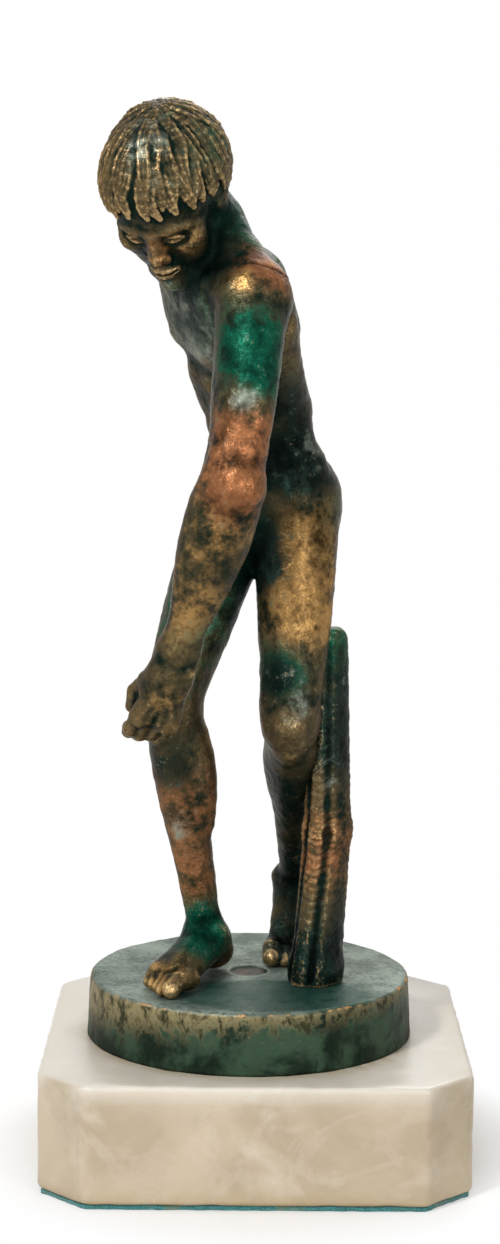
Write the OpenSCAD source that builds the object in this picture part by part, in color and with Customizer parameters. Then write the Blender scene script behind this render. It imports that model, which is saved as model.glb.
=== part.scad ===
// Bronze statuette of a runner waiting at the start, on a round bronze plinth and a marble block.
// Millimetres. The origin is the centre of the underside; the front of the block faces -Y.

/* [Marble block] */
// Width of the marble block
base_w = 90; // [80:1:110]
// Depth of the marble block, front to back
base_d = 90; // [80:1:110]
// Height of the marble block
base_h = 25; // [22:1:40]
// Length clipped off each side at a corner
base_clip = 10; // [4:0.5:16]
// Rounding of the block's edges
base_edge = 1.2; // [0.6:0.1:2.5]
// Thickness of the felt under the block
felt_t = 1; // [0.6:0.1:2]
// How far the felt stays inside the block's outline
felt_inset = 0.8; // [0.4:0.1:4]

/* [Round plinth] */
// Diameter of the plinth at its foot
plinth_d = 70; // [66:1:78]
// Height of the plinth
plinth_h = 13; // [12:0.5:18]
// How much narrower the plinth is at its top, in diameter
plinth_taper = 1.2; // [0:0.2:3]
// Rounding of the plinth's upper edge
plinth_edge = 1.2; // [0.6:0.1:2]
// Thickness of the plinth's side wall
plinth_wall = 4; // [3:0.5:6]
// Thickness of the plinth's top plate
plinth_plate = 4; // [3.5:0.5:5]
// Place of the plinth's centre on the block, left to right
plinth_x = -1.5; // [-3:0.5:3]
// Place of the plinth's centre on the block, front to back
plinth_y = -2.5; // [-3:0.5:3]

/* [Fixings] */
// Diameter of the stud that holds the plinth to the block
stud_d = 6; // [5:0.5:7]
// Diameter of the stud's flush head in the plinth's top
head_d = 8; // [7.5:0.5:9]
// Thickness of the stud's head
head_t = 1.6; // [1.2:0.1:2.2]
// Diameter of the recess for the nut under the block
recess_d = 18; // [16:0.5:24]
// Depth of the recess for the nut
recess_h = 9; // [9:0.5:14]
// Diameter of the large washer
washer_d = 14; // [12:0.5:15]
// Thickness of the large washer
washer_t = 1.6; // [1:0.1:2]
// Width of the large nut across its flats
nut_af = 10; // [9:0.5:11]
// Height of the large nut
nut_h = 5; // [4:0.5:5.5]
// Diameter of the tenons under the feet and the stump
tenon_d = 4; // [3:0.5:5]
// Diameter of the small washers
small_washer_d = 9; // [8:0.5:10]
// Thickness of the small washers
small_washer_t = 0.8; // [0.5:0.1:1.2]
// Width of the small nuts across their flats
small_nut_af = 7; // [6:0.5:8]
// Height of the small nuts
small_nut_h = 3.2; // [2.5:0.1:4]
// Diameter of the tenons that carry the arms
arm_tenon_d = 5; // [4:0.5:6]
// Length of the tenons that carry the arms
arm_tenon_l = 8; // [5:0.5:9]
// Diameter of the pins through the arm tenons
pin_d = 1.6; // [1:0.2:2]
// Clearance round everything that fits in a hole
fit = 0.1; // [0.05:0.05:0.2]

/* [Stance] */
// Angle by which the figure faces left of straight ahead
heading = 39; // [0:1:90]
// Distance from the trailing foot to the leading one
stride = 36; // [30:1:42]
// Distance between the lines that the feet stand on
stance_w = 4.5; // [2:0.5:7]
// How far the trailing heel is raised
heel_raise = 35; // [20:1:40]
// How far the trailing foot is turned out
left_toe_out = 35; // [20:1:40]
// How far the leading foot is turned out
right_toe_out = -10; // [-15:1:5]
// Height of the pelvis centre above the plinth
pelvis_h = 104; // [98:1:108]
// Forward lean of the belly
belly_lean = 13; // [0:1:30]
// Sideways lean of the belly, to its left
belly_tilt = 5; // [0:1:8]
// Forward lean of the chest
chest_lean = 40; // [15:1:45]
// Sideways lean of the chest, to its left
chest_tilt = 8; // [0:1:15]
// Turn of the chest that brings the left shoulder forward
chest_turn = 26; // [10:1:30]
// How far the head is bowed
head_bow = 48; // [30:1:58]
// Turn of the head to its left
head_turn = 20; // [-10:1:35]

/* [Bones] */
// Length of the thigh
thigh_l = 46; // [45:0.5:51]
// Length of the shin
shin_l = 53; // [51:0.5:57]
// Distance between the hip joints
hip_w = 14.5; // [13.5:0.5:16]
// Length of the belly, pelvis centre to waist
belly_l = 20.2; // [18:0.2:23]
// Length of the chest, waist to shoulder line
chest_l = 37.6; // [34:0.2:40]
// Distance between the shoulder joints
shoulder_w = 35; // [33.5:0.5:37]
// Length of the upper arm
upper_arm_l = 37; // [35:0.5:40]
// Length of the forearm
forearm_l = 40; // [37:0.5:42]
// Length of the palm
palm_l = 12; // [11:0.5:13]
// Distance from the shoulder line to the middle of the head
neck_l = 17; // [16:0.5:20]
// Length of the foot from the ankle to its ball
instep_l = 15.5; // [14:0.5:17]

/* [Girths] */
// Radius of the head across the temples
head_r = 10.4; // [9.8:0.1:11]
// Radius of the neck
neck_r = 7; // [6.4:0.1:7.6]
// Half the width of the chest
chest_r = 14.8; // [14:0.1:16]
// Half the width of the waist
waist_r = 11.2; // [10.5:0.1:12.2]
// Radius of the pelvis, front to back
pelvis_r = 9.6; // [9:0.1:10.3]
// Radius of the thigh at the hip
thigh_r = 8.8; // [8.2:0.1:9.4]
// Radius of the knee
knee_r = 5.9; // [5.5:0.1:6.4]
// Radius of the shin at the ankle
ankle_r = 3.3; // [2.9:0.1:3.6]
// Radius of the shoulder
shoulder_r = 7.7; // [7.2:0.1:8.2]
// Radius of the elbow
elbow_r = 5.5; // [5:0.1:5.9]
// Radius of the wrist
wrist_r = 4; // [3.6:0.1:4.3]
// Radius of the fingers
finger_r = 1.7; // [1.5:0.05:1.85]
// Radius of the tree stump at its foot
stump_r = 4.8; // [4.4:0.1:5.4]
// Height of the tree stump
stump_h = 76; // [70:1:80]
// Width of the foot at its ball
foot_w = 11; // [10:0.5:12.5]

/* [Hidden] */

bronze = [0.35, 0.27, 0.18];
brass_yellow = [0.72, 0.58, 0.30];
marble_white = [0.86, 0.82, 0.75];
felt_green = [0.10, 0.32, 0.26];

// Heights of the stack, from the table up
block_top = felt_t + base_h;
plinth_top = block_top + plinth_h;
recess_top = felt_t + recess_h;
head_sink = 0.2;
stud_past = 1;
boss_wall = 4;

// Vectors. The figure is placed in its own frame: forward, left and up, from the middle of the plinth's top.
forward = [1, 0, 0];
left = [0, 1, 0];
up = [0, 0, 1];
function unit(v) = v / norm(v);
function mix(a, b, t) = a + (b - a) * t;
function squared(v, axis) = unit(v - axis * (v * axis));

// Trunk
pelvis = [-0.5, 3.5, pelvis_h];
waist = pelvis + belly_l * [sin(belly_lean), tan(belly_tilt), cos(belly_lean)];
collar = waist + chest_l * unit([sin(chest_lean), tan(chest_tilt), cos(chest_lean)]);
spine = unit(collar - waist);
chest_left = squared(cos(chest_turn) * left + sin(chest_turn) * squared(forward, spine), spine);
chest_front = unit(cross(chest_left, spine));
chest = mix(waist, collar, 0.55);

// Head
skull = collar + neck_l * unit([1.15, -0.02, 1.22]);
head_front = [cos(head_turn) * cos(head_bow), sin(head_turn) * cos(head_bow), -sin(head_bow)];
head_up = [cos(head_turn) * sin(head_bow), sin(head_turn) * sin(head_bow), cos(head_bow)];
head_left = cross(head_up, head_front);

// Limbs: s is 1 on the left, -1 on the right. The right foot leads and lies flat; the left is on its ball.
stance_centre = [4, -1.25];
instep_rise = 23;
ball_h = 0.27 * foot_w;
function ball(s) = [stance_centre.x - s * stride / 2, stance_centre.y + s * stance_w / 2, ball_h];
function raise(s) = s > 0 ? heel_raise : 0;
function toe_turn(s) = s > 0 ? left_toe_out : -right_toe_out;
function foot_ahead(s) = [cos(toe_turn(s)), sin(toe_turn(s)), 0];
function foot_out(s) = s * cross(up, foot_ahead(s));
function toeward(s) = cos(raise(s)) * foot_ahead(s) - sin(raise(s)) * up;
function instep_up(s) = sin(raise(s)) * foot_ahead(s) + cos(raise(s)) * up;
function ankle(s) = ball(s) + instep_l * (sin(instep_rise) * instep_up(s) - cos(instep_rise) * toeward(s));
function heel(s) = ankle(s) - instep_l * (0.27 * toeward(s) + 0.30 * instep_up(s));
function hip(s) = pelvis + [-1.2 * s, s * hip_w / 2, -0.18 * pelvis_r];
function knee(s) = bent(hip(s), ankle(s), thigh_l, shin_l, s > 0 ? [0.82, 0.57, 0] : [1, -0.05, 0]);
function shoulder(s) = collar + s * shoulder_w / 2 * chest_left - spine;
function elbow(s) = shoulder(s) + upper_arm_l * unit(s > 0 ? [10, 4, -35] : [-37, -7, -18]);
function wrist(s) = elbow(s) + forearm_l * unit(s > 0 ? [1, -15, -37] : [-4, 3, -34]);

// The joint between two bones of lengths a and b from p to q, bent towards pole
function bent(p, q, a, b, pole) =
    let (d = min(norm(q - p), 0.999 * (a + b)), along = unit(q - p), x = (a * a - b * b + d * d) / (2 * d))
    p + along * x + squared(pole, along) * sqrt(max(a * a - x * x, 0));

// A muscle is a round-ended spindle from a to b. It can bulge, be flattened along n, or be cut away.
// It blends with the others over the width k.
function muscle(a, ra, b, rb, k = 3, bulge = 0, flat = 1, n = up, cut = false) =
    [a, ra, b, rb, k, bulge, flat, n, cut];
function lump(a, r, k = 3, cut = false) = muscle(a, r, a, r, k, cut = cut);

// Distance from p to a muscle's surface
function reach(p, m) =
    let (
        ab = m[2] - m[0],
        t = min(max((p - m[0]) * ab / max(ab * ab, 0.000001), 0), 1),
        q = p - m[0] - t * ab,
        r = mix(m[1], m[3], t) + m[5] * 4 * t * (1 - t)
    )
    m[6] == 1 ? norm(q) - r :
    let (
        stretch = 1 / m[6] - 1,
        q1 = q + m[7] * ((q * m[7]) * stretch),
        q2 = q1 + m[7] * ((q1 * m[7]) * stretch)
    )
    (norm(q1) - r) * norm(q1) / max(norm(q2), 0.000001);

// Two surfaces blended into one over the width k
function blend(a, b, k) = let (h = max(k - abs(a - b), 0) / k) min(a, b) - h * h * k / 4;
function field(p, ms, i = 0, d = 100) =
    i == len(ms) ? d
    : let (m = ms[i], e = reach(p, m)) field(p, ms, i + 1, m[8] ? -blend(-d, e, m[4]) : blend(d, e, m[4]));

// The radius at which a ray from o along d leaves the flesh, found from outside by stepping in
trace_steps = 8;
function trace(o, d, ms, grow, r, n = trace_steps) =
    n == 0 ? r : trace(o, d, ms, grow, max(r - field(o + d * r, ms) + grow, 0.2), n - 1);

// Muscles of the trunk
function trunk_muscles() =
    let (c = chest_r, w = waist_r, p = pelvis_r)
    concat(
        [
            muscle(pelvis + 0.53 * p * left + 0.1 * p * up, p, pelvis - 0.53 * p * left + 0.1 * p * up, p),
            muscle(pelvis + 0.3 * p * up + 0.1 * p * forward, 1.06 * w, waist, w, 4, 0, 0.74, chest_front),
            muscle(waist + 0.19 * c * spine, 1.02 * w, chest + 0.19 * c * spine, c, 5, 0, 0.7, chest_front),
            muscle(collar + 0.56 * c * chest_left - 0.19 * c * spine, 0.5 * c,
                   collar - 0.56 * c * chest_left - 0.19 * c * spine, 0.5 * c, 5),
            muscle(pelvis + 0.53 * p * forward - 0.2 * p * up, 0.7 * p,
                   pelvis + 0.63 * p * forward + 0.58 * p * up, 0.7 * p),
            lump(pelvis + 0.63 * p * forward - 0.92 * p * up, 0.39 * p, 4)
        ],
        [for (s = [1, -1]) each trunk_side(s, s * chest_left, s * left, c, w, p)],
        // Furrow of the spine
        [muscle(pelvis - 1.28 * p * forward + 0.78 * p * up, 0.15 * p,
                chest - 0.81 * c * chest_front, 0.09 * c, cut = true)]
    );

// One side of the trunk, with out and hipward pointing away from the middle
function trunk_side(s, out, hipward, c, w, p) =
    let (
        belly_low = pelvis + 0.89 * p * forward + 0.2 * p * up,
        belly_high = chest + 0.59 * c * chest_front - 0.37 * c * spine
    )
    [
        // Trapezius, pectoral and latissimus
        muscle(mix(collar, skull, 0.42) - 0.3 * c * chest_front, 0.4 * c,
               shoulder(s) + 0.12 * c * spine - 0.12 * c * out - 0.2 * c * chest_front, 0.3 * c, 4),
        muscle(chest + 0.34 * c * out + 0.49 * c * chest_front + 0.15 * c * spine, 0.39 * c,
               shoulder(s) - 0.43 * c * spine - 0.28 * c * out + 0.22 * c * chest_front, 0.31 * c,
               2.2, 0, 0.62, chest_front),
        muscle(shoulder(s) - 0.74 * c * spine - 0.28 * c * out - 0.25 * c * chest_front, 0.32 * c,
               waist + 0.73 * w * out - 0.2 * w * chest_front, 0.33 * w, 3.5),
        // Shoulder blade and the column beside the spine
        muscle(collar + 0.62 * c * out - 0.25 * c * spine - 0.5 * c * chest_front, 0.36 * c,
               collar + 0.56 * c * out - 1.05 * c * spine - 0.5 * c * chest_front, 0.3 * c,
               2.5, 0, 0.7, chest_front),
        muscle(pelvis + 0.31 * p * hipward - 0.73 * p * forward + 0.29 * p * up, 0.43 * p,
               chest + 0.24 * c * out - 0.47 * c * chest_front, 0.26 * c, 2.2),
        // Flank over the hip, and buttock
        muscle(pelvis + 1.12 * p * hipward + 0.68 * p * up + 0.1 * p * forward, 0.45 * p,
               waist + 0.77 * w * out + 0.16 * w * spine, 0.31 * w),
        muscle(hip(s) - 0.34 * p * forward + 0.29 * p * up, 0.62 * p,
               hip(s) - 0.42 * p * forward - 0.24 * p * up, 0.66 * p),
        // Collar bone and the blocks of the belly
        muscle(collar + 0.15 * c * out + 0.32 * c * chest_front + 0.09 * c * spine, 0.1 * c,
               shoulder(s) + 0.2 * c * spine - 0.22 * c * out + 0.12 * c * chest_front, 0.12 * c, 2.4),
        each [for (t = [0.16, 0.45, 0.7, 0.92])
              let (at = mix(belly_low, belly_high, t) + 0.19 * c * out - 0.02 * c * chest_front)
              muscle(at, 0.22 * c, at, 0.22 * c, 3.6, 0, 0.75, chest_front)]
    ];

// Muscles of a leg, from the hip to the ankle
function leg_muscles(s) =
    let (
        h = hip(s), k = knee(s), a = ankle(s), t = thigh_r, r = knee_r,
        bone = unit(k - h), shin = unit(a - k), bend = unit(bone - shin),
        front = squared(bend, bone), shin_front = squared(bend, shin),
        out = -s * cross(bone, front), shin_out = -s * cross(shin, shin_front)
    )
    [
        muscle(h, t, mix(h, k, 0.92), 1.03 * r),
        // Front, outer and inner thigh
        muscle(mix(h, k, 0.12) + 0.33 * t * front, 0.58 * t,
               mix(h, k, 0.86) + 0.25 * t * front, 0.4 * t, 2.2, 0.1 * t),
        muscle(mix(h, k, 0.15) + 0.38 * t * out + 0.1 * t * front, 0.52 * t,
               mix(h, k, 0.84) + 0.34 * t * out + 0.12 * t * front, 0.33 * t, 2.2, 0.08 * t),
        muscle(mix(h, k, 0.6) - 0.27 * t * out + 0.16 * t * front, 0.4 * t,
               mix(h, k, 0.9) - 0.33 * t * out + 0.17 * t * front, 0.35 * t, 2),
        muscle(mix(h, k, 0.05) - 0.35 * t * out - 0.1 * t * front, 0.62 * t,
               mix(h, k, 0.62) - 0.29 * t * out - 0.1 * t * front, 0.42 * t),
        // Hamstrings
        each [for (q = [1, -1]) muscle(mix(h, k, 0.1) - 0.4 * t * front, 0.58 * t,
              mix(h, k, 0.95) - 0.27 * t * front + q * 0.23 * t * out, 0.27 * t, 2.4, 0.06 * t)],
        // Knee and kneecap
        lump(k + 0.09 * r * front, 0.97 * r),
        muscle(k + 0.76 * r * front + 0.1 * r * bone, 0.52 * r,
               k + 0.72 * r * shin_front + 0.45 * r * shin, 0.41 * r, 1.8),
        // Shin bone and the two heads of the calf
        muscle(mix(k, a, 0.06), 0.9 * r, mix(k, a, 0.92), ankle_r),
        muscle(mix(k, a, 0.1) + 0.55 * r * shin_front, 0.38 * r,
               mix(k, a, 0.9) + 0.17 * r * shin_front, 0.31 * r, 2.4),
        muscle(mix(k, a, 0.08) - 0.48 * r * shin_front - 0.33 * r * shin_out, 0.48 * r,
               mix(k, a, 0.52) - 0.41 * r * shin_front - 0.33 * r * shin_out, 0.43 * r, 2.2, 0.28 * r),
        muscle(mix(k, a, 0.08) - 0.48 * r * shin_front + 0.34 * r * shin_out, 0.48 * r,
               mix(k, a, 0.46) - 0.41 * r * shin_front + 0.34 * r * shin_out, 0.43 * r, 2.2, 0.24 * r),
        muscle(mix(k, a, 0.14) + 0.45 * r * shin_out + 0.24 * r * shin_front, 0.41 * r,
               mix(k, a, 0.6) + 0.28 * r * shin_out + 0.14 * r * shin_front, 0.31 * r, 2.2, 0.16 * r),
        lump(a, 1.1 * ankle_r, 2),
        // Tendon above the heel
        muscle(mix(k, a, 0.6) - 0.4 * r * shin_front, 0.32 * r,
               a - 0.75 * ankle_r * toeward(s), 0.62 * ankle_r, 2.4)
    ];

// Heel, ankle bones and instep of a foot
function foot_muscles(s) =
    let (a = ankle(s), b = ball(s), out = foot_out(s), r = ankle_r, w = foot_w)
    concat(
        [
            muscle(a, 1.16 * r, heel(s), 1.25 * r, 2.5),
            muscle(a - 0.75 * r * toeward(s), 0.62 * r, heel(s), 0.75 * r, 2.5),
            muscle(a, 1.1 * r, b - 0.13 * instep_l * foot_ahead(s) + 0.11 * w * (up - out), 0.24 * w, 2.5),
            lump(a + 0.9 * r * out - 0.25 * r * up, 0.6 * r, 1.6),
            lump(a - 0.94 * r * out + 0.19 * r * up, 0.62 * r, 1.6)
        ],
        [for (t = [-0.24, 0, 0.26])
            muscle(mix(a, heel(s), 0.45) + 0.4 * t * w * out, (0.31 - 0.09 * max(t, 0)) * w,
                   b + t * w * out, (0.26 - 0.14 * max(t, 0)) * w, 2.2)]
    );

function toe_muscles(s) =
    [for (i = [0:4])
        let (
            r = (i == 0 ? 0.195 : 0.14 - 0.0055 * i) * foot_w,
            aside = 0.186 * i - (i == 0 ? 0.391 : 0.355),
            back = 0.05 * abs(i - 0.5),
            root = ball(s) + foot_w * (aside * foot_out(s) - back * foot_ahead(s) - 0.036 * up),
            front = root + instep_l * (0.48 - (i == 1 ? 0.026 : 0.058 * i)) * foot_ahead(s),
            tip = [front.x, front.y, 0.95 * r],
            mid = mix(root, tip, 0.55) + 0.064 * foot_w * up
        )
        each [muscle(root, 1.1 * r, mid, r, 1), muscle(mid, r, tip, 0.95 * r, 0.6)]];

// Muscles of an arm, from the shoulder to the knuckles
function arm_bend(s) = unit(unit(wrist(s) - elbow(s)) - unit(elbow(s) - shoulder(s)));
function arm_muscles(s) =
    let (
        sh = shoulder(s), e = elbow(s), w = wrist(s), r = elbow_r,
        bone = unit(e - sh), fore = unit(w - e),
        front = squared(arm_bend(s), bone), fore_front = squared(arm_bend(s), fore),
        out = -s * cross(bone, front), fore_out = -s * cross(fore, fore_front)
    )
    [
        // Deltoid, bone, biceps and triceps
        muscle(sh, shoulder_r, mix(sh, e, 0.42) + 0.15 * shoulder_r * out, 0.58 * shoulder_r, 2.5),
        muscle(sh, 0.87 * shoulder_r, mix(sh, e, 0.95), r, 2.5),
        muscle(mix(sh, e, 0.28) + 0.54 * r * front, 0.82 * r,
               mix(sh, e, 0.86) + 0.41 * r * front, 0.68 * r, 1.8, 0.2 * r),
        muscle(mix(sh, e, 0.15) - 0.5 * r * front, 0.88 * r,
               mix(sh, e, 0.8) - 0.36 * r * front, 0.73 * r, 1.8, 0.16 * r),
        lump(e - 0.34 * r * front, 0.86 * r, 2),
        // Forearm
        muscle(mix(e, w, 0.02), 0.97 * r, mix(e, w, 0.96), 0.97 * wrist_r, 2.5),
        muscle(mix(sh, e, 0.88) + 0.5 * r * out, 0.59 * r,
               mix(e, w, 0.62) + 0.32 * r * fore_out + 0.18 * r * fore_front, 0.5 * r, 2, 0.34 * r),
        muscle(mix(e, w, 0.04) - 0.45 * r * fore_out, 0.68 * r,
               mix(e, w, 0.66) - 0.27 * r * fore_out, 0.5 * r, 2, 0.27 * r),
        // Wrist, palm and the ball of the thumb
        muscle(mix(e, w, 0.9), 1.09 * wrist_r, mix(e, w, 1.04), 1.06 * wrist_r, 2, 0, 0.78, palm_side(s)),
        each [for (q = [0.23, -0.26]) muscle(w + 0.13 * palm_l * palm_along(s), 1.03 * wrist_r,
              knuckles(s) + q * palm_l * thumbward(s), 1.4 * finger_r, 2)],
        lump(w + palm_l * (0.35 * palm_along(s) + 0.24 * thumbward(s) + 0.07 * palm_side(s)),
             1.6 * finger_r, 2)
    ];

// Hand: along the palm, out of the palm, and across the knuckles towards the thumb
function palm_side(s) =
    let (fore = unit(wrist(s) - elbow(s)))
    s > 0 ? squared([-0.7, -0.7, 0], fore) : -cross(fore, squared(arm_bend(s), fore));
function palm_along(s) = unit(unit(wrist(s) - elbow(s)) + 0.1 * palm_side(s));
function thumbward(s) = s * cross(palm_side(s), palm_along(s));
function knuckles(s) = wrist(s) + palm_l * palm_along(s);
finger_shares = [0.92, 1, 0.98, 0.78];
finger_bones = palm_l * [0.47, 0.33, 0.26];
finger_taper = 0.93;
function curl(s) = s > 0 ? [26, 57, 86] : [38, 80, 116];
function bone_dir(s, a) = cos(a) * palm_along(s) + sin(a) * palm_side(s);
function finger(s, i, j = 0) =
    j == 0 ? knuckles(s) + palm_l * ((0.29 - 0.187 * i) * thumbward(s) - 0.03 * abs(i - 1.2) * palm_along(s))
    : finger(s, i, j - 1) + finger_shares[i] * finger_bones[j - 1] * bone_dir(s, curl(s)[j - 1] + 3 * i);
function thumb(s, j = 0) =
    j == 0 ? wrist(s) + palm_l * (0.35 * palm_along(s) + 0.31 * thumbward(s) + 0.1 * palm_side(s))
    : let (aside = j == 1 ? 0.3 : -0.15)
      thumb(s, j - 1) + 0.42 * palm_l * unit(palm_along(s) + aside * thumbward(s) + 0.55 * palm_side(s));
function digit_muscles(points, r) =
    [for (j = [1:len(points) - 1])
        muscle(points[j - 1], r * pow(finger_taper, j - 1), points[j], r * pow(finger_taper, j), 0.7)];

// Muscles of the head, in shares of head_r from the middle of the skull
function head_muscles() =
    let (r = head_r)
    concat(
        [
            muscle(in_head(-0.42, 0, 0.38), r, in_head(0.22, 0, 0.42), 0.93 * r),
            muscle(in_head(0.3, 0, -0.08), 0.86 * r, in_head(0.6, 0, -0.95), 0.5 * r, 3, 0, 0.92, head_left),
            lump(in_head(0.93, 0, -1.2), 0.24 * r, 2.5)
        ],
        [for (s = [1, -1]) each [
            // Jaw, cheek, eye socket, brow and eye
            muscle(in_head(-0.05, 0.64 * s, -0.45), 0.28 * r, in_head(0.66, 0.28 * s, -1.12), 0.22 * r),
            muscle(in_head(0.74, 0.55 * s, -0.24), 0.3 * r, in_head(0.62, 0.5 * s, -0.55), 0.28 * r, 2.5),
            muscle(in_head(1.1, 0.3 * s, 0.03), 0.15 * r,
                   in_head(1, 0.46 * s, 0.03), 0.17 * r, 1.8, cut = true),
            muscle(in_head(1.1, 0.15 * s, 0.2), 0.09 * r, in_head(1, 0.58 * s, 0.22), 0.09 * r, 1.5),
            lump(in_head(0.88, 0.38 * s, 0.02), 0.2 * r, 0.8)
        ]],
        [
            // Nose and mouth
            muscle(in_head(1.08, 0, 0.2), 0.1 * r, in_head(1.3, 0, -0.38), 0.14 * r, 1.2),
            lump(in_head(1, 0, -0.77), 0.24 * r, 2.2),
            // Cap of hair, with its fringe, nape and sides
            muscle(in_head(-0.45, 0, 0.46), 1.21 * r, in_head(0.1, 0, 0.68), 1.13 * r, 0.8),
            muscle(in_head(-0.66, 0, -0.25), 0.93 * r, in_head(-0.5, 0, 0.34), 1.16 * r, 2)
        ],
        [for (s = [1, -1]) each [
            muscle(in_head(-0.1, 0.79 * s, -0.1), 0.33 * r, in_head(-0.17, 0.83 * s, 0.51), 0.39 * r, 1.5),
            muscle(in_head(-0.1, 0.9 * s, -0.42), 0.1 * r, in_head(-0.08, 0.98 * s, 0.02), 0.14 * r, 1)
        ]]
    );
function in_head(f, l, u) = skull + head_r * (f * head_front + l * head_left + u * head_up);
function neck_muscles() = concat(
    [muscle(collar - 0.2 * neck_r * chest_front + 0.14 * neck_r * spine, 1.05 * neck_r,
            in_head(-0.3, 0, -0.68), 0.94 * neck_r, 4)],
    [for (s = [1, -1])
        muscle(in_head(-0.34, 0.68 * s, -0.6), 0.34 * neck_r,
               collar + neck_r * (0.29 * s * chest_left + 0.77 * chest_front + 0.14 * spine),
               0.24 * neck_r, 2.2)]
);

// Skin over a list of muscles: rays leave an axis on every side, and fan out round both of its ends.
// The axis turns its bends gradually, over bend_span before and after each.
bend_span = 7;
function axis_length(axis, i = 1) =
    i == len(axis) ? 0 : norm(axis[i] - axis[i - 1]) + axis_length(axis, i + 1);
function on_axis(axis, d, i = 1) =
    let (bone = axis[i] - axis[i - 1], l = norm(bone))
    d <= l || i == len(axis) - 1 ? axis[i - 1] + unit(bone) * d : on_axis(axis, d - l, i + 1);
function tangent(axis, d, span) =
    let (l = axis_length(axis))
    unit(on_axis(axis, min(d + span, l)) - on_axis(axis, max(d - span, 0)));
function ray(along, ref, turn, tilt) =
    let (a = squared(ref, along), b = cross(along, a))
    cos(tilt) * (cos(turn) * a + sin(turn) * b) + sin(tilt) * along;
function ray_rows(axis, rings, fans) =
    let (l = axis_length(axis)) concat(
        [for (i = [1:fans - 1]) [0, 90 * i / fans - 90]],
        [for (i = [0:rings]) [l * i / rings, 0]],
        [for (i = [1:fans - 1]) [l, 90 * i / fans]]
    );

module skin(ms, axis, ref, grain, far, span = bend_span, grow = 0) {
    sides = grain[0];
    l = axis_length(axis);
    rows = ray_rows(axis, grain[1], grain[2]);
    function skin_point(d, turn, tilt) =
        let (o = on_axis(axis, d), v = ray(tangent(axis, d, span), ref, turn, tilt))
        o + v * trace(o, v, ms, grow, far);
    points = concat(
        [skin_point(0, 0, -90)],
        [for (row = rows, j = [0:sides - 1]) skin_point(row[0], 360 * j / sides, row[1])],
        [skin_point(l, 0, 90)]
    );
    last = len(rows) - 1;
    tip = len(points) - 1;
    faces = concat(
        [for (j = [0:sides - 1]) [0, 1 + j, 1 + (j + 1) % sides]],
        [for (i = [0:last - 1], j = [0:sides - 1])
            let (a = 1 + i * sides + j, b = 1 + i * sides + (j + 1) % sides)
            each [[a, a + sides, b], [b, a + sides, b + sides]]],
        [for (j = [0:sides - 1]) [tip, 1 + last * sides + (j + 1) % sides, 1 + last * sides + j]]
    );
    polyhedron(points, faces, convexity = 6);
}

// Tree stump beside the left leg: two bent stems grown together, with shallow furrows in the bark
stump_foot = [-2.5, 16.2, 0];
stump_top = [-5, 17, stump_h - 0.6 * stump_r];
stump_bend = mix(stump_foot, stump_top, 0.45) + [-0.7, 1, 0];
furrow_turns = [25, 150, 215, 330];
furrow_twist = 14;
function flat_dir(turn) = [cos(turn), sin(turn), 0];
function stump_muscles() =
    let (r = stump_r)
    concat(
        [lump(stump_foot + 0.6 * r * up, 1.2 * r, 4)],
        [for (q = [1, -1])
            let (bend = stump_bend + 0.38 * q * r * forward)
            each [muscle(stump_foot + 0.42 * q * r * forward, 0.9 * r, bend, 0.8 * r, 2),
                  muscle(bend, 0.8 * r, stump_top + 0.3 * q * r * forward, 0.66 * r, 2)]],
        [for (turn = furrow_turns)
            let (lean = flat_dir(turn + furrow_twist), bend = stump_bend + 1.06 * r * lean)
            each [muscle(stump_foot + 1.3 * r * flat_dir(turn), 0.12 * r, bend, 0.12 * r, 1.4, cut = true),
                  muscle(bend, 0.12 * r, stump_top + 0.95 * r * lean, 0.1 * r, 1.4, cut = true)]]
    );

// Places of the tenons on the plinth: right foot, left foot and stump
function sole(s) = s > 0 ? ball(s) : mix(heel(s), ball(s), 0.55);
tenon_spots = [for (p = [sole(-1), sole(1), stump_foot]) [p.x, p.y, 0]];
tenon_root = 1.5;
tenon_end = plinth_plate + small_washer_t + small_nut_h + 1;

// Seats of the arms: a plane square to the shoulder line, and a tenon behind it that is pinned from the back
seat_in = 2;
seat_reach = 16;
seat_depth = 20;
sole_cut = 20;
function arm_seat(s) = shoulder(s) - s * seat_in * chest_left;
function pin_spot(s) = arm_seat(s) - s * 0.55 * arm_tenon_l * chest_left;
pin_sink = 0.4;
pin_past = 1;
function pin_back(s) = trace(pin_spot(s), -chest_front, trunk_muscles(), 0, 30) - pin_sink;

// The stump's pin runs level from the stump into the thigh
stump_pin_t = 0.9;
stump_pin_l = 13;
stump_pin_at = mix(stump_foot, stump_top, stump_pin_t);
function thigh_at(h) = mix(hip(1), knee(1), (hip(1).z - h) / (hip(1).z - knee(1).z));
stump_pin_dir = unit(thigh_at(stump_pin_at.z) - stump_pin_at);

module in_figure() translate([plinth_x, plinth_y, plinth_top]) rotate([0, 0, -(90 + heading)]) children();
module along(from, dir) translate(from) rotate([0, acos(dir.z), atan2(dir.y, dir.x)]) children();
module hollow_disc(d, bore, h) difference() {
    cylinder(d = d, h = h);
    translate([0, 0, -1]) cylinder(d = bore, h = h + 2);
}
module hex_nut(af, bore, h) difference() {
    cylinder(d = af / cos(30), h = h, $fn = 6);
    translate([0, 0, -1]) cylinder(d = bore, h = h + 2);
}

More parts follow.
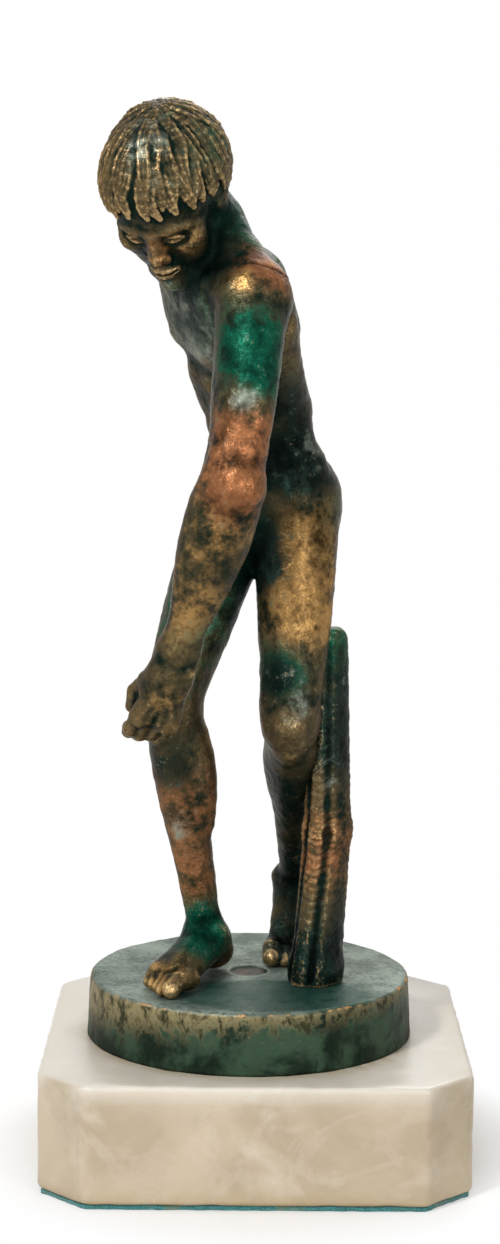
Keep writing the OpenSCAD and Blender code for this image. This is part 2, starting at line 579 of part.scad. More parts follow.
// Skins of the figure. A grain is the sides round the axis, the rings along it and the steps round its ends.
trunk_grain = [32, 16, 4];
head_grain = [40, 10, 8];
leg_grain = [18, 24, 3];
foot_grain = [28, 16, 3];
arm_grain = [16, 26, 3];
digit_grain = [8, 9, 2];
stump_grain = [24, 14, 2];
trunk_axis = [pelvis - 0.3 * pelvis_r * up, waist, collar - 0.4 * chest_r * spine,
              mix(collar, skull, 0.36) - 0.22 * chest_r * chest_front];
function foot_axis(s) = [heel(s), ball(s), ball(s) + 0.45 * instep_l * foot_ahead(s) - 0.4 * ball_h * up];
function arm_axis(s) = [shoulder(s), elbow(s), wrist(s), knuckles(s)];

module trunk_skin() skin(trunk_muscles(), trunk_axis, chest_front, trunk_grain, 2.5 * chest_r);
module head_skin()
    skin(concat(neck_muscles(), head_muscles()), [collar, skull], head_front, head_grain, 2.5 * head_r);
module leg_skin(s, grow = 0)
    skin(leg_muscles(s), [hip(s), knee(s), ankle(s)], forward, leg_grain, 2.3 * thigh_r, grow = grow);
module foot_skin(s)
    skin(concat(foot_muscles(s), toe_muscles(s)), foot_axis(s), up, foot_grain, 1.3 * foot_w, ball_h);
module arm_skin(s) skin(arm_muscles(s), arm_axis(s), chest_front, arm_grain, 2.3 * shoulder_r);
module digit_skin(points, r, ref)
    skin(digit_muscles(points, r), points, ref, digit_grain, 4 * finger_r, finger_r);
module hand_skin(s) {
    for (i = [0:3])
        digit_skin([for (j = [0:3]) finger(s, i, j)], (i < 3 ? 1 : 0.88) * finger_r, thumbward(s));
    digit_skin([for (j = [0:2]) thumb(s, j)], 1.18 * finger_r, cross(palm_along(s), thumbward(s)));
}

module below_soles()
    translate([-plinth_d, -plinth_d, -sole_cut]) cube([2 * plinth_d, 2 * plinth_d, sole_cut]);
module foot_tenon(p) translate(p - tenon_end * up) cylinder(d = tenon_d, h = tenon_end + tenon_root);
module seat_side(s, outward)
    along(arm_seat(s), (outward ? s : -s) * chest_left) cylinder(r = seat_reach, h = seat_depth);
module arm_tenon(s, gap) along(arm_seat(s) + s * chest_left, -s * chest_left)
    cylinder(d = arm_tenon_d + 2 * gap, h = arm_tenon_l + 1 + 2 * gap);
module arm_pin(s, gap) along(pin_spot(s) + (arm_tenon_d / 2 + pin_past + gap) * chest_front, -chest_front)
    cylinder(d = pin_d + 2 * gap, h = arm_tenon_d / 2 + pin_past + 2 * gap + pin_back(s));
module stump_pin(gap) along(stump_pin_at - (0.4 * stump_r + gap) * stump_pin_dir, stump_pin_dir)
    cylinder(d = pin_d + 2 * gap, h = stump_pin_l + 2 * gap);

// Outline of the block, a rectangle with its corners clipped
module block_outline(inset) {
    x = base_w / 2 - inset;
    y = base_d / 2 - inset;
    clip = base_clip - inset * (2 - sqrt(2));
    polygon([[x, clip - y], [x, y - clip], [x - clip, y], [clip - x, y],
             [-x, y - clip], [-x, clip - y], [clip - x, -y], [x - clip, -y]]);
}

module felt_pad() color(felt_green) linear_extrude(felt_t) block_outline(felt_inset);

module marble_block() color(marble_white) difference() {
    hull() {
        translate([0, 0, felt_t + base_edge]) linear_extrude(base_h - 2 * base_edge) block_outline(0);
        translate([0, 0, felt_t]) linear_extrude(base_h) block_outline(base_edge);
    }
    translate([plinth_x, plinth_y, felt_t - 1]) {
        cylinder(d = stud_d + 2 * fit, h = base_h + 2);
        cylinder(d = recess_d, h = recess_h + 1);
    }
}

module base_nut() color(brass_yellow) translate([plinth_x, plinth_y, recess_top - washer_t - nut_h])
    hex_nut(nut_af, stud_d, nut_h);

module base_washer() color(brass_yellow) translate([plinth_x, plinth_y, recess_top - washer_t])
    hollow_disc(washer_d, stud_d + 2 * fit, washer_t);

module base_stud() color(bronze) translate([plinth_x, plinth_y, 0]) {
    foot = recess_top - washer_t - nut_h - stud_past;
    translate([0, 0, foot]) cylinder(d = stud_d, h = plinth_top - head_sink - foot);
    translate([0, 0, plinth_top - head_sink - head_t]) cylinder(d = head_d, h = head_t);
}

// Hollow below its plate, with a boss round the stud and bores for the tenons
module plinth() color(bronze) difference() {
    translate([plinth_x, plinth_y, block_top]) rotate_extrude() difference() {
        plinth_profile();
        difference() {
            translate([0, -1]) square([plinth_d / 2 - plinth_wall, plinth_h - plinth_plate + 1]);
            translate([0, -1]) square([stud_d / 2 + boss_wall, plinth_h + 1]);
        }
    }
    translate([plinth_x, plinth_y, block_top - 1]) cylinder(d = stud_d + 2 * fit, h = plinth_h + 2);
    translate([plinth_x, plinth_y, plinth_top - head_sink - head_t])
        cylinder(d = head_d + 2 * fit, h = plinth_h);
    in_figure() for (p = tenon_spots)
        translate(p - (plinth_plate + 1) * up) cylinder(d = tenon_d + 2 * fit, h = plinth_plate + 2);
}
module plinth_profile() {
    top_r = (plinth_d - plinth_taper) / 2;
    polygon([[0, 0], [plinth_d / 2, 0], [top_r, plinth_h - plinth_edge],
             [top_r - plinth_edge, plinth_h], [0, plinth_h]]);
    translate([top_r - plinth_edge, plinth_h - plinth_edge]) circle(r = plinth_edge);
}

module tenon_nuts() color(brass_yellow) in_figure() for (p = tenon_spots)
    translate(p - (plinth_plate + small_washer_t + small_nut_h) * up)
        hex_nut(small_nut_af, tenon_d, small_nut_h);

module tenon_washers() color(brass_yellow) in_figure() for (p = tenon_spots)
    translate(p - (plinth_plate + small_washer_t) * up)
        hollow_disc(small_washer_d, tenon_d + 2 * fit, small_washer_t);

module tree_stump() color(bronze) in_figure() difference() {
    union() {
        difference() {
            skin(stump_muscles(), [stump_foot, stump_top], forward, stump_grain, 2.6 * stump_r);
            below_soles();
            leg_skin(1, fit);
        }
        foot_tenon(tenon_spots[2]);
    }
    stump_pin(0);
}

// Trunk, head and legs are one casting; the arms are cast apart and pinned to it
module figure_body() color(bronze) in_figure() difference() {
    union() {
        difference() {
            union() {
                difference() {
                    trunk_skin();
                    for (s = [1, -1]) seat_side(s, true);
                }
                head_skin();
                for (s = [1, -1]) {
                    leg_skin(s);
                    foot_skin(s);
                }
            }
            below_soles();
        }
        for (p = [tenon_spots[0], tenon_spots[1]]) foot_tenon(p);
    }
    for (s = [1, -1]) {
        arm_tenon(s, fit);
        arm_pin(s, 0);
    }
    stump_pin(0);
}

module arm(s) color(bronze) in_figure() difference() {
    union() {
        difference() {
            union() {
                arm_skin(s);
                hand_skin(s);
            }
            seat_side(s, false);
        }
        arm_tenon(s, 0);
    }
    arm_pin(s, 0);
}
module left_arm() arm(1);
module right_arm() arm(-1);

module cross_pins() color(bronze) in_figure() {
    for (s = [1, -1]) arm_pin(s, 0);
    stump_pin(0);
}

felt_pad();
marble_block();
base_nut();
base_washer();
base_stud();
plinth();
tenon_nuts();
tenon_washers();
tree_stump();
figure_body();
left_arm();
right_arm();
cross_pins();
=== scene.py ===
"""Looks of the bronze statuette: a runner waiting at the start, on a round plinth and a marble block."""
import math
import random

import bmesh
import bpy
import numpy as np
import openvdb
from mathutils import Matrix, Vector, noise


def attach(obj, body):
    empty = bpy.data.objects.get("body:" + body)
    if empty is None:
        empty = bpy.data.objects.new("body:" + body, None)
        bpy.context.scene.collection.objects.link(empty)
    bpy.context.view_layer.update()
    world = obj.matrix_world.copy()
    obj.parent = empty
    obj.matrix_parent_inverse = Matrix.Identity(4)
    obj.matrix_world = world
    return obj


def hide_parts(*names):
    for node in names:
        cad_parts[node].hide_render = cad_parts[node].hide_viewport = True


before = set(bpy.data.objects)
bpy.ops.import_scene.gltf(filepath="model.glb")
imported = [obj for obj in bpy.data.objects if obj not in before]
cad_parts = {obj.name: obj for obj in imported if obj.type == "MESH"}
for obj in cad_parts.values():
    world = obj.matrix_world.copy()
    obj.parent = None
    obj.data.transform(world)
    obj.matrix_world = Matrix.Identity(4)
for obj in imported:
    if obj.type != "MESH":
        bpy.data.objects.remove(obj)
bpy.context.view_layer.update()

# Sizes of the figure in millimetres and degrees, as in the solids
HEADING = 39
STRIDE, STANCE_W, HEEL_RAISE, LEFT_TOE_OUT, RIGHT_TOE_OUT = 36, 4.5, 35, 35, -10
PELVIS_H, BELLY_LEAN, BELLY_TILT, CHEST_LEAN, CHEST_TILT, CHEST_TURN = 104, 13, 5, 40, 8, 26
HEAD_BOW, HEAD_TURN, INSTEP_RISE = 48, 20, 23
THIGH_L, SHIN_L, HIP_W, BELLY_L, CHEST_L, SHOULDER_W = 46, 53, 14.5, 20.2, 37.6, 35
UPPER_ARM_L, FOREARM_L, PALM_L, NECK_L, INSTEP_L = 37, 40, 12, 17, 15.5
HEAD_R, NECK_R, CHEST_R, WAIST_R, PELVIS_R = 10.4, 7, 14.8, 11.2, 9.6
THIGH_R, KNEE_R, ANKLE_R = 8.8, 5.9, 3.3
SHOULDER_R, ELBOW_R, WRIST_R, FINGER_R = 7.7, 5.5, 4, 1.7
FOOT_W, STUMP_R, STUMP_H = 11, 4.8, 76

# Sizes of the base
BLOCK_W, BLOCK_D, BLOCK_H, BLOCK_CLIP, BLOCK_EDGE, FELT_T, FELT_INSET = 90, 90, 25, 10, 1.2, 1, 0.8
PLINTH_D, PLINTH_H, PLINTH_TAPER, PLINTH_EDGE, PLINTH_WALL, PLINTH_PLATE = 70, 13, 1.2, 1.2, 4, 4
PLINTH_X, PLINTH_Y = -1.5, -2.5
STUD_D, HEAD_D, HEAD_T, HEAD_SINK, BOSS_WALL, FIT = 6, 8, 1.6, 0.2, 4, 0.1
BLOCK_TOP = FELT_T + BLOCK_H
PLINTH_TOP = BLOCK_TOP + PLINTH_H
MM = 0.001


def vec(*values):
    return np.array(values, float)


def unit(v):
    return v / np.linalg.norm(v)


def mix(a, b, t):
    return a + (b - a) * t


def squared(v, axis):
    return unit(v - axis * (v @ axis))


def sind(angle):
    return math.sin(math.radians(angle))


def cosd(angle):
    return math.cos(math.radians(angle))


# Landmarks of the figure, in its own frame: forward, left and up from the middle of the plinth's top
FORWARD, LEFT, UP = vec(1, 0, 0), vec(0, 1, 0), vec(0, 0, 1)
PELVIS = vec(-0.5, 3.5, PELVIS_H)
WAIST = PELVIS + BELLY_L * vec(sind(BELLY_LEAN), math.tan(math.radians(BELLY_TILT)), cosd(BELLY_LEAN))
COLLAR = WAIST + CHEST_L * unit(vec(sind(CHEST_LEAN), math.tan(math.radians(CHEST_TILT)), cosd(CHEST_LEAN)))
SPINE = unit(COLLAR - WAIST)
CHEST_LEFT = squared(cosd(CHEST_TURN) * LEFT + sind(CHEST_TURN) * squared(FORWARD, SPINE), SPINE)
CHEST_FRONT = unit(np.cross(CHEST_LEFT, SPINE))
CHEST = mix(WAIST, COLLAR, 0.55)
NECK_AIM = vec(1.15, -0.02, 1.22)
SKULL = COLLAR + NECK_L * unit(NECK_AIM)
HEAD_FRONT = vec(cosd(HEAD_TURN) * cosd(HEAD_BOW), sind(HEAD_TURN) * cosd(HEAD_BOW), -sind(HEAD_BOW))
HEAD_UP = vec(cosd(HEAD_TURN) * sind(HEAD_BOW), sind(HEAD_TURN) * sind(HEAD_BOW), cosd(HEAD_BOW))
HEAD_LEFT = np.cross(HEAD_UP, HEAD_FRONT)
CROWN = unit(-0.55 * HEAD_FRONT + 0.84 * HEAD_UP)
BALL_H = 0.27 * FOOT_W
STANCE_CENTRE = vec(4, -1.25)
STUMP_FOOT, STUMP_TOP = vec(-2.5, 16.2, 0), vec(-5, 17, STUMP_H - 0.6 * STUMP_R)
STUMP_BEND = mix(STUMP_FOOT, STUMP_TOP, 0.45) + vec(-0.7, 1.0, 0)

# Ways that knees, arms and the left palm point; here and below, s is 1 on the left and -1 on the right
KNEE_AIM = {1: vec(0.82, 0.57, 0), -1: vec(1, -0.05, 0)}
UPPER_ARM_AIM = {1: vec(10, 4, -35), -1: vec(-37, -7, -18)}
FOREARM_AIM = {1: vec(1, -15, -37), -1: vec(-4, 3, -34)}
LEFT_PALM_AIM = vec(-0.7, -0.7, 0)


# Joints
def ball(s):
    return vec(STANCE_CENTRE[0] - s * STRIDE / 2, STANCE_CENTRE[1] + s * STANCE_W / 2, BALL_H)


def heel_lift(s):
    return HEEL_RAISE if s > 0 else 0


def foot_ahead(s):
    turn = LEFT_TOE_OUT if s > 0 else -RIGHT_TOE_OUT
    return vec(cosd(turn), sind(turn), 0)


def foot_out(s):
    return s * np.cross(UP, foot_ahead(s))


def toeward(s):
    return cosd(heel_lift(s)) * foot_ahead(s) - sind(heel_lift(s)) * UP


def instep_up(s):
    return sind(heel_lift(s)) * foot_ahead(s) + cosd(heel_lift(s)) * UP


def ankle(s):
    return ball(s) + INSTEP_L * (sind(INSTEP_RISE) * instep_up(s) - cosd(INSTEP_RISE) * toeward(s))


def heel(s):
    return ankle(s) - INSTEP_L * (0.27 * toeward(s) + 0.30 * instep_up(s))


def hip(s):
    return PELVIS + vec(-1.2 * s, s * HIP_W / 2, -0.18 * PELVIS_R)


def knee(s):
    start, end = hip(s), ankle(s)
    span, along = np.linalg.norm(end - start), unit(end - start)
    x = (THIGH_L ** 2 - SHIN_L ** 2 + span ** 2) / (2 * span)
    return start + along * x + squared(KNEE_AIM[s], along) * math.sqrt(THIGH_L ** 2 - x * x)


def shoulder(s):
    return COLLAR + s * SHOULDER_W / 2 * CHEST_LEFT - SPINE


def elbow(s):
    return shoulder(s) + UPPER_ARM_L * unit(UPPER_ARM_AIM[s])


def wrist(s):
    return elbow(s) + FOREARM_L * unit(FOREARM_AIM[s])


# Places in shares of a girth, forward, to the left and up, from a landmark of the hips, the chest or the head
def by_hips(f, l, u, at=PELVIS):
    return at + PELVIS_R * (f * FORWARD + l * LEFT + u * UP)


def by_chest(at, f, l, u, girth=CHEST_R):
    return at + girth * (f * CHEST_FRONT + l * CHEST_LEFT + u * SPINE)


def in_head(f, l, u):
    return SKULL + HEAD_R * (f * HEAD_FRONT + l * HEAD_LEFT + u * HEAD_UP)


# Modelling: distances past FAR aren't told apart, and PAD is the room that is kept round a muscle
FAR, PAD = 6.0, 1.5


def muscle(a, ra, b, rb, k=3.0, bulge=0.0, flat=1.0, n=UP, cut=False):
    """A round-ended spindle from a to b. It blends over k, and can bulge, be flat along n or be cut away."""
    return a, ra, b, rb, k, bulge, flat, n, cut


def lump(a, r, k=3.0, cut=False):
    return muscle(a, r, a, r, k, cut=cut)


def reach(p, m):
    """Distance from the points p to a muscle's surface."""
    a, ra, b, rb, k, bulge, flat, n, cut = m
    bone = (b - a).astype(p.dtype)
    q = p - a.astype(p.dtype)
    t = np.clip(q @ bone / max(float(bone @ bone), 1e-6), 0, 1)
    q = q - t[..., None] * bone
    r = ra + (rb - ra) * t + bulge * 4 * t * (1 - t)
    if flat == 1:
        return np.sqrt((q * q).sum(-1)) - r
    n = n.astype(p.dtype)
    stretch = 1 / flat - 1
    q1 = q + n * ((q @ n) * stretch)[..., None]
    q2 = q1 + n * ((q1 @ n) * stretch)[..., None]
    near = np.sqrt((q1 * q1).sum(-1))
    return (near - r) * near / np.maximum(np.sqrt((q2 * q2).sum(-1)), 1e-6)


def blend(a, b, k):
    h = np.maximum(k - np.abs(a - b), 0) / k
    return np.minimum(a, b) - h * h * k / 4


def joined(d, e, m):
    """Distance d with the muscle m, at distance e, blended on or cut out."""
    return -blend(-d, e, m[4]) if m[8] else blend(d, e, m[4])


def field(p, muscles):
    d = np.full(p.shape[:-1], FAR)
    for m in muscles:
        d = joined(d, reach(p, m), m)
    return d


class Clay:
    """A block of space, as distances to the surface on a grid, in which muscles are modelled."""

    def __init__(self, low, high, cell):
        self.low, self.cell = np.array(low, float), cell
        size = np.ceil((np.array(high, float) - self.low) / cell).astype(int)
        self.d = np.full(size, FAR, np.float32)

    def add(self, muscles):
        for m in muscles:
            a, ra, b, rb, k, bulge = m[:6]
            pad = max(ra, rb) + bulge + k + PAD
            lo = np.floor((np.minimum(a, b) - pad - self.low) / self.cell).astype(int)
            hi = np.ceil((np.maximum(a, b) + pad - self.low) / self.cell).astype(int) + 1
            lo, hi = np.maximum(lo, 0), np.minimum(hi, self.d.shape)
            if (hi <= lo).any():
                continue
            axes = [self.low[i] + self.cell * np.arange(lo[i], hi[i]) for i in range(3)]
            p = np.stack(np.meshgrid(*axes, indexing="ij"), -1).astype(np.float32)
            window = tuple(slice(l, h) for l, h in zip(lo, hi))
            self.d[window] = joined(self.d[window], reach(p, m), m)
        return self

    def above(self, height, edge):
        """Cuts off what is below a height, with a soft edge."""
        z = (self.low[2] + self.cell * np.arange(self.d.shape[2]) - height).astype(np.float32)
        self.d = -blend(-self.d, np.broadcast_to(z, self.d.shape), edge)
        return self

    def softened(self, width):
        """The distances averaged over a cube of that width."""
        d = self.d
        n = max(int(round(width / self.cell / 2)), 1)
        for axis in range(3):
            s = np.cumsum(np.pad(d, [(n + 1, n) if i == axis else (0, 0) for i in range(3)], "edge"), axis)
            s = np.moveaxis(s, axis, 0)
            d = np.moveaxis((s[2 * n + 1:] - s[:-2 * n - 1]) / (2 * n + 1), 0, axis).astype(np.float32)
        return d

    def sample(self, d, points):
        q = (points - self.low) / self.cell
        i = np.clip(np.floor(q).astype(int), 0, np.array(d.shape) - 2)
        t = q - i
        total = np.zeros(len(points))
        for corner in np.ndindex(2, 2, 2):
            weight = np.prod(np.where(corner, t, 1 - t), axis=1)
            total += weight * d[tuple((i + corner).T)]
        return total

    def surface(self, d):
        grid = openvdb.FloatGrid(FAR)
        grid.copyFromArray(np.ascontiguousarray(d), tolerance=0.0)
        points, quads = grid.convertToQuads(isovalue=0.0)
        return largest_shell(np.asarray(points, float) * self.cell + self.low, np.asarray(quads)[:, ::-1])


def largest_shell(points, faces):
    """The outer skin, without the tiny pockets left between details."""
    label, changed = np.arange(len(points)), True
    while changed:
        spread_to = label.copy()
        np.minimum.at(spread_to, faces, label[faces].min(1)[:, None])
        spread_to = spread_to[spread_to]
        changed = (spread_to != label).any()
        label = spread_to
    keep = label == np.bincount(label).argmax()
    order = np.cumsum(keep) - 1
    return points[keep], order[faces[keep[faces[:, 0]]]]


# Muscles of the trunk
def trunk_muscles():
    c, w, p = CHEST_R, WAIST_R, PELVIS_R
    rows = [
        muscle(by_hips(0, 0.53, 0.1), p, by_hips(0, -0.53, 0.1), p),
        muscle(by_hips(0.1, 0, 0.3), 1.06 * w, WAIST, w, 4, 0, 0.74, CHEST_FRONT),
        muscle(by_chest(WAIST, 0, 0, 0.19), 1.02 * w, by_chest(CHEST, 0, 0, 0.19), c, 5, 0, 0.7, CHEST_FRONT),
        muscle(by_chest(COLLAR, 0, 0.56, -0.19), 0.5 * c, by_chest(COLLAR, 0, -0.56, -0.19), 0.5 * c, 5),
        muscle(by_hips(0.53, 0, -0.2), 0.7 * p, by_hips(0.63, 0, 0.58), 0.7 * p),
        lump(by_hips(0.63, 0, -0.92), 0.39 * p, 4),
    ]
    for s in (1, -1):
        rows += trunk_side(s)
    rows.append(muscle(by_hips(-1.28, 0, 0.78), 0.15 * p, by_chest(CHEST, -0.81, 0, 0), 0.09 * c, cut=True))
    return rows


def trunk_side(s):
    c, w, p, joint = CHEST_R, WAIST_R, PELVIS_R, shoulder(s)
    belly_low, belly_high = by_hips(0.89, 0, 0.2), by_chest(CHEST, 0.59, 0, -0.37)

    def near(at, f, out, u, girth=CHEST_R):
        return by_chest(at, f, s * out, u, girth)

    rows = [
        # Trapezius, pectoral and latissimus
        muscle(near(mix(COLLAR, SKULL, 0.42), -0.3, 0, 0), 0.4 * c,
               near(joint, -0.2, -0.12, 0.12), 0.3 * c, 4),
        muscle(near(CHEST, 0.49, 0.34, 0.15), 0.39 * c,
               near(joint, 0.22, -0.28, -0.43), 0.31 * c, 2.2, 0, 0.62, CHEST_FRONT),
        muscle(near(joint, -0.25, -0.28, -0.74), 0.32 * c, near(WAIST, -0.2, 0.73, 0, w), 0.33 * w, 3.5),
        # Shoulder blade and the column beside the spine
        muscle(near(COLLAR, -0.5, 0.62, -0.25), 0.36 * c,
               near(COLLAR, -0.5, 0.56, -1.05), 0.3 * c, 2.5, 0, 0.7, CHEST_FRONT),
        muscle(by_hips(-0.73, 0.31 * s, 0.29), 0.43 * p, near(CHEST, -0.47, 0.24, 0), 0.26 * c, 2.2),
        # Flank over the hip, buttock and collar bone
        muscle(by_hips(0.1, 1.12 * s, 0.68), 0.45 * p, near(WAIST, 0, 0.77, 0.16, w), 0.31 * w),
        muscle(by_hips(-0.34, 0, 0.29, hip(s)), 0.62 * p, by_hips(-0.42, 0, -0.24, hip(s)), 0.66 * p),
        muscle(near(COLLAR, 0.32, 0.15, 0.09), 0.1 * c, near(joint, 0.12, -0.22, 0.2), 0.12 * c, 2.4),
    ]
    # Rows of the belly
    for t in (0.16, 0.45, 0.7, 0.92):
        at = near(mix(belly_low, belly_high, t), -0.02, 0.19, 0)
        rows.append(muscle(at, 0.22 * c, at, 0.22 * c, 3.6, 0, 0.75, CHEST_FRONT))
    return rows


def trunk_details():
    """Navel, breastbone and ribs, which are too fine for the solids."""
    c = CHEST_R
    belly = mix(by_hips(0.9, 0, 0), by_chest(CHEST, 0.59, 0, 0), 0.36)
    rows = [
        lump(by_chest(belly, 0.24, 0, 0), 0.05 * c, 1.2, cut=True),
        muscle(by_chest(CHEST, 0.96, 0, 0.15), 0.04 * c,
               by_chest(COLLAR, 0.62, 0, -0.1), 0.04 * c, 2, cut=True),
    ]
    for s in (1, -1):
        for i in range(4):
            root = by_chest(CHEST, 0.12, s * (0.84 - 0.03 * i), -0.06 - 0.19 * i)
            tip = by_chest(CHEST, 0.46, s * (0.6 - 0.02 * i), -0.2 - 0.19 * i)
            rows.append(muscle(root, 0.075 * c, tip, 0.06 * c, 2.4))
    return rows


# Muscles of the legs and feet
def leg_muscles(s):
    h, k, a, t, r = hip(s), knee(s), ankle(s), THIGH_R, KNEE_R
    bone, shin = unit(k - h), unit(a - k)
    bend = unit(bone - shin)
    front, shin_front = squared(bend, bone), squared(bend, shin)
    out, shin_out = -s * np.cross(bone, front), -s * np.cross(shin, shin_front)

    def thigh(share, forward=0.0, outward=0.0):
        return mix(h, k, share) + THIGH_R * (forward * front + outward * out)

    def calf(share, forward=0.0, outward=0.0):
        return mix(k, a, share) + KNEE_R * (forward * shin_front + outward * shin_out)

    return [
        # Bone, then the front, outer and inner thigh and the back of it
        muscle(h, t, thigh(0.92), 1.03 * r),
        muscle(thigh(0.12, 0.33), 0.58 * t, thigh(0.86, 0.25), 0.4 * t, 2.2, 0.1 * t),
        muscle(thigh(0.15, 0.1, 0.38), 0.52 * t, thigh(0.84, 0.12, 0.34), 0.33 * t, 2.2, 0.08 * t),
        muscle(thigh(0.6, 0.16, -0.27), 0.4 * t, thigh(0.9, 0.17, -0.33), 0.35 * t, 2),
        muscle(thigh(0.05, -0.1, -0.35), 0.62 * t, thigh(0.62, -0.1, -0.29), 0.42 * t),
        muscle(thigh(0.1, -0.4), 0.58 * t, thigh(0.95, -0.27, 0.23), 0.27 * t, 2.4, 0.06 * t),
        muscle(thigh(0.1, -0.4), 0.58 * t, thigh(0.95, -0.27, -0.23), 0.27 * t, 2.4, 0.06 * t),
        # Knee and kneecap
        lump(k + 0.09 * r * front, 0.97 * r),
        muscle(k + r * (0.76 * front + 0.1 * bone), 0.52 * r,
               k + r * (0.72 * shin_front + 0.45 * shin), 0.41 * r, 1.8),
        # Shin bone and the heads of the calf
        muscle(calf(0.06), 0.9 * r, calf(0.92), ANKLE_R),
        muscle(calf(0.1, 0.55), 0.38 * r, calf(0.9, 0.17), 0.31 * r, 2.4),
        muscle(calf(0.08, -0.48, -0.33), 0.48 * r, calf(0.52, -0.41, -0.33), 0.43 * r, 2.2, 0.28 * r),
        muscle(calf(0.08, -0.48, 0.34), 0.48 * r, calf(0.46, -0.41, 0.34), 0.43 * r, 2.2, 0.24 * r),
        muscle(calf(0.14, 0.24, 0.45), 0.41 * r, calf(0.6, 0.14, 0.28), 0.31 * r, 2.2, 0.16 * r),
        lump(a, 1.1 * ANKLE_R, 2),
        # Tendon above the heel and the ridge below the kneecap
        muscle(calf(0.6, -0.4), 0.32 * r, a - 0.75 * ANKLE_R * toeward(s), 0.62 * ANKLE_R, 2.4),
        muscle(k + r * (shin_front + 0.6 * shin), 0.14 * r,
               k + r * (0.9 * shin_front + 0.95 * shin), 0.12 * r, 1.8),
    ]


def foot_muscles(s):
    a, b, out, r, w = ankle(s), ball(s), foot_out(s), ANKLE_R, FOOT_W
    rows = [
        muscle(a, 1.16 * r, heel(s), 1.25 * r, 2.5),
        muscle(a - 0.75 * r * toeward(s), 0.62 * r, heel(s), 0.75 * r, 2.5),
        muscle(a, 1.1 * r, b - 0.13 * INSTEP_L * foot_ahead(s) + 0.11 * w * (UP - out), 0.24 * w, 2.5),
        lump(a + 0.9 * r * out - 0.25 * r * UP, 0.6 * r, 1.6),
        lump(a - 0.94 * r * out + 0.19 * r * UP, 0.62 * r, 1.6),
    ]
    for t in (-0.24, 0, 0.26):
        rows.append(muscle(mix(a, heel(s), 0.45) + 0.4 * t * w * out, (0.31 - 0.09 * max(t, 0)) * w,
                           b + t * w * out, (0.26 - 0.14 * max(t, 0)) * w, 2.2))
    for i in range(5):
        rows += toe(s, i)
    return rows


def toe(s, i):
    """A toe with its nail: i is 0 for the big toe and 4 for the little one."""
    r = (0.195 if i == 0 else 0.14 - 0.0055 * i) * FOOT_W
    aside = 0.186 * i - (0.391 if i == 0 else 0.355)
    onward = foot_ahead(s)
    root = ball(s) + FOOT_W * (aside * foot_out(s) - 0.05 * abs(i - 0.5) * onward - 0.036 * UP)
    tip = root + INSTEP_L * (0.48 - (0.026 if i == 1 else 0.058 * i)) * onward
    tip[2] = 0.95 * r
    mid = mix(root, tip, 0.55) + 0.064 * FOOT_W * UP
    nail = mix(mid, tip, 0.85) + 0.72 * r * UP
    nail_end = nail + r * (0.35 * onward - 0.12 * UP)
    return [
        muscle(root, 1.1 * r, mid, r, 0.8),
        muscle(mid, r, tip, 0.95 * r, 0.5),
        muscle(nail - 0.3 * r * onward, 0.4 * r, nail_end, 0.36 * r, 0.25, 0, 0.6, UP),
    ]


# Muscles of the arms and hands
def arm_frame(s):
    """Directions to the front and outwards on the upper arm and on the forearm."""
    bone, fore = unit(elbow(s) - shoulder(s)), unit(wrist(s) - elbow(s))
    bend = unit(fore - bone)
    front, fore_front = squared(bend, bone), squared(bend, fore)
    return front, fore_front, -s * np.cross(bone, front), -s * np.cross(fore, fore_front)


def hand_frame(s):
    """Along the palm, out of the palm, across the knuckles towards the thumb, and the knuckles' middle."""
    fore = unit(wrist(s) - elbow(s))
    palm = squared(LEFT_PALM_AIM, fore) if s > 0 else -arm_frame(s)[3]
    along = unit(fore + 0.1 * palm)
    across = s * np.cross(palm, along)
    return along, palm, across, wrist(s) + PALM_L * along


def arm_muscles(s):
    sh, e, w, r = shoulder(s), elbow(s), wrist(s), ELBOW_R
    front, fore_front, out, fore_out = arm_frame(s)
    along, palm, across, knuckles = hand_frame(s)

    def upper(share, forward=0.0, outward=0.0):
        return mix(sh, e, share) + ELBOW_R * (forward * front + outward * out)

    def fore(share, forward=0.0, outward=0.0):
        return mix(e, w, share) + ELBOW_R * (forward * fore_front + outward * fore_out)

    rows = [
        # Deltoid, bone, biceps, triceps and the point of the elbow
        muscle(sh, SHOULDER_R, upper(0.42) + 0.15 * SHOULDER_R * out, 0.58 * SHOULDER_R, 2.5),
        muscle(sh, 0.87 * SHOULDER_R, upper(0.95), r, 2.5),
        muscle(upper(0.28, 0.54), 0.82 * r, upper(0.86, 0.41), 0.68 * r, 1.8, 0.2 * r),
        muscle(upper(0.15, -0.5), 0.88 * r, upper(0.8, -0.36), 0.73 * r, 1.8, 0.16 * r),
        lump(upper(1, -0.34), 0.86 * r, 2),
        # Forearm
        muscle(fore(0.02), 0.97 * r, fore(0.96), 0.97 * WRIST_R, 2.5),
        muscle(upper(0.88, 0, 0.5), 0.59 * r, fore(0.62, 0.18, 0.32), 0.5 * r, 2, 0.34 * r),
        muscle(fore(0.04, 0, -0.45), 0.68 * r, fore(0.66, 0, -0.27), 0.5 * r, 2, 0.27 * r),
        # Wrist, ball of the thumb and the knob of the wrist
        muscle(fore(0.9), 1.09 * WRIST_R, fore(1.04), 1.06 * WRIST_R, 2, 0, 0.78, palm),
        lump(w + PALM_L * (0.35 * along + 0.24 * across + 0.07 * palm), 1.6 * FINGER_R, 2),
        lump(fore(0.97) - WRIST_R * (0.55 * palm + 0.75 * across), 0.42 * WRIST_R, 1.0),
    ]
    # Palm
    for q in (0.23, -0.26):
        rows.append(muscle(w + 0.13 * PALM_L * along, 1.03 * WRIST_R,
                           knuckles + q * PALM_L * across, 1.4 * FINGER_R, 2))
    return rows + hand_muscles(s)


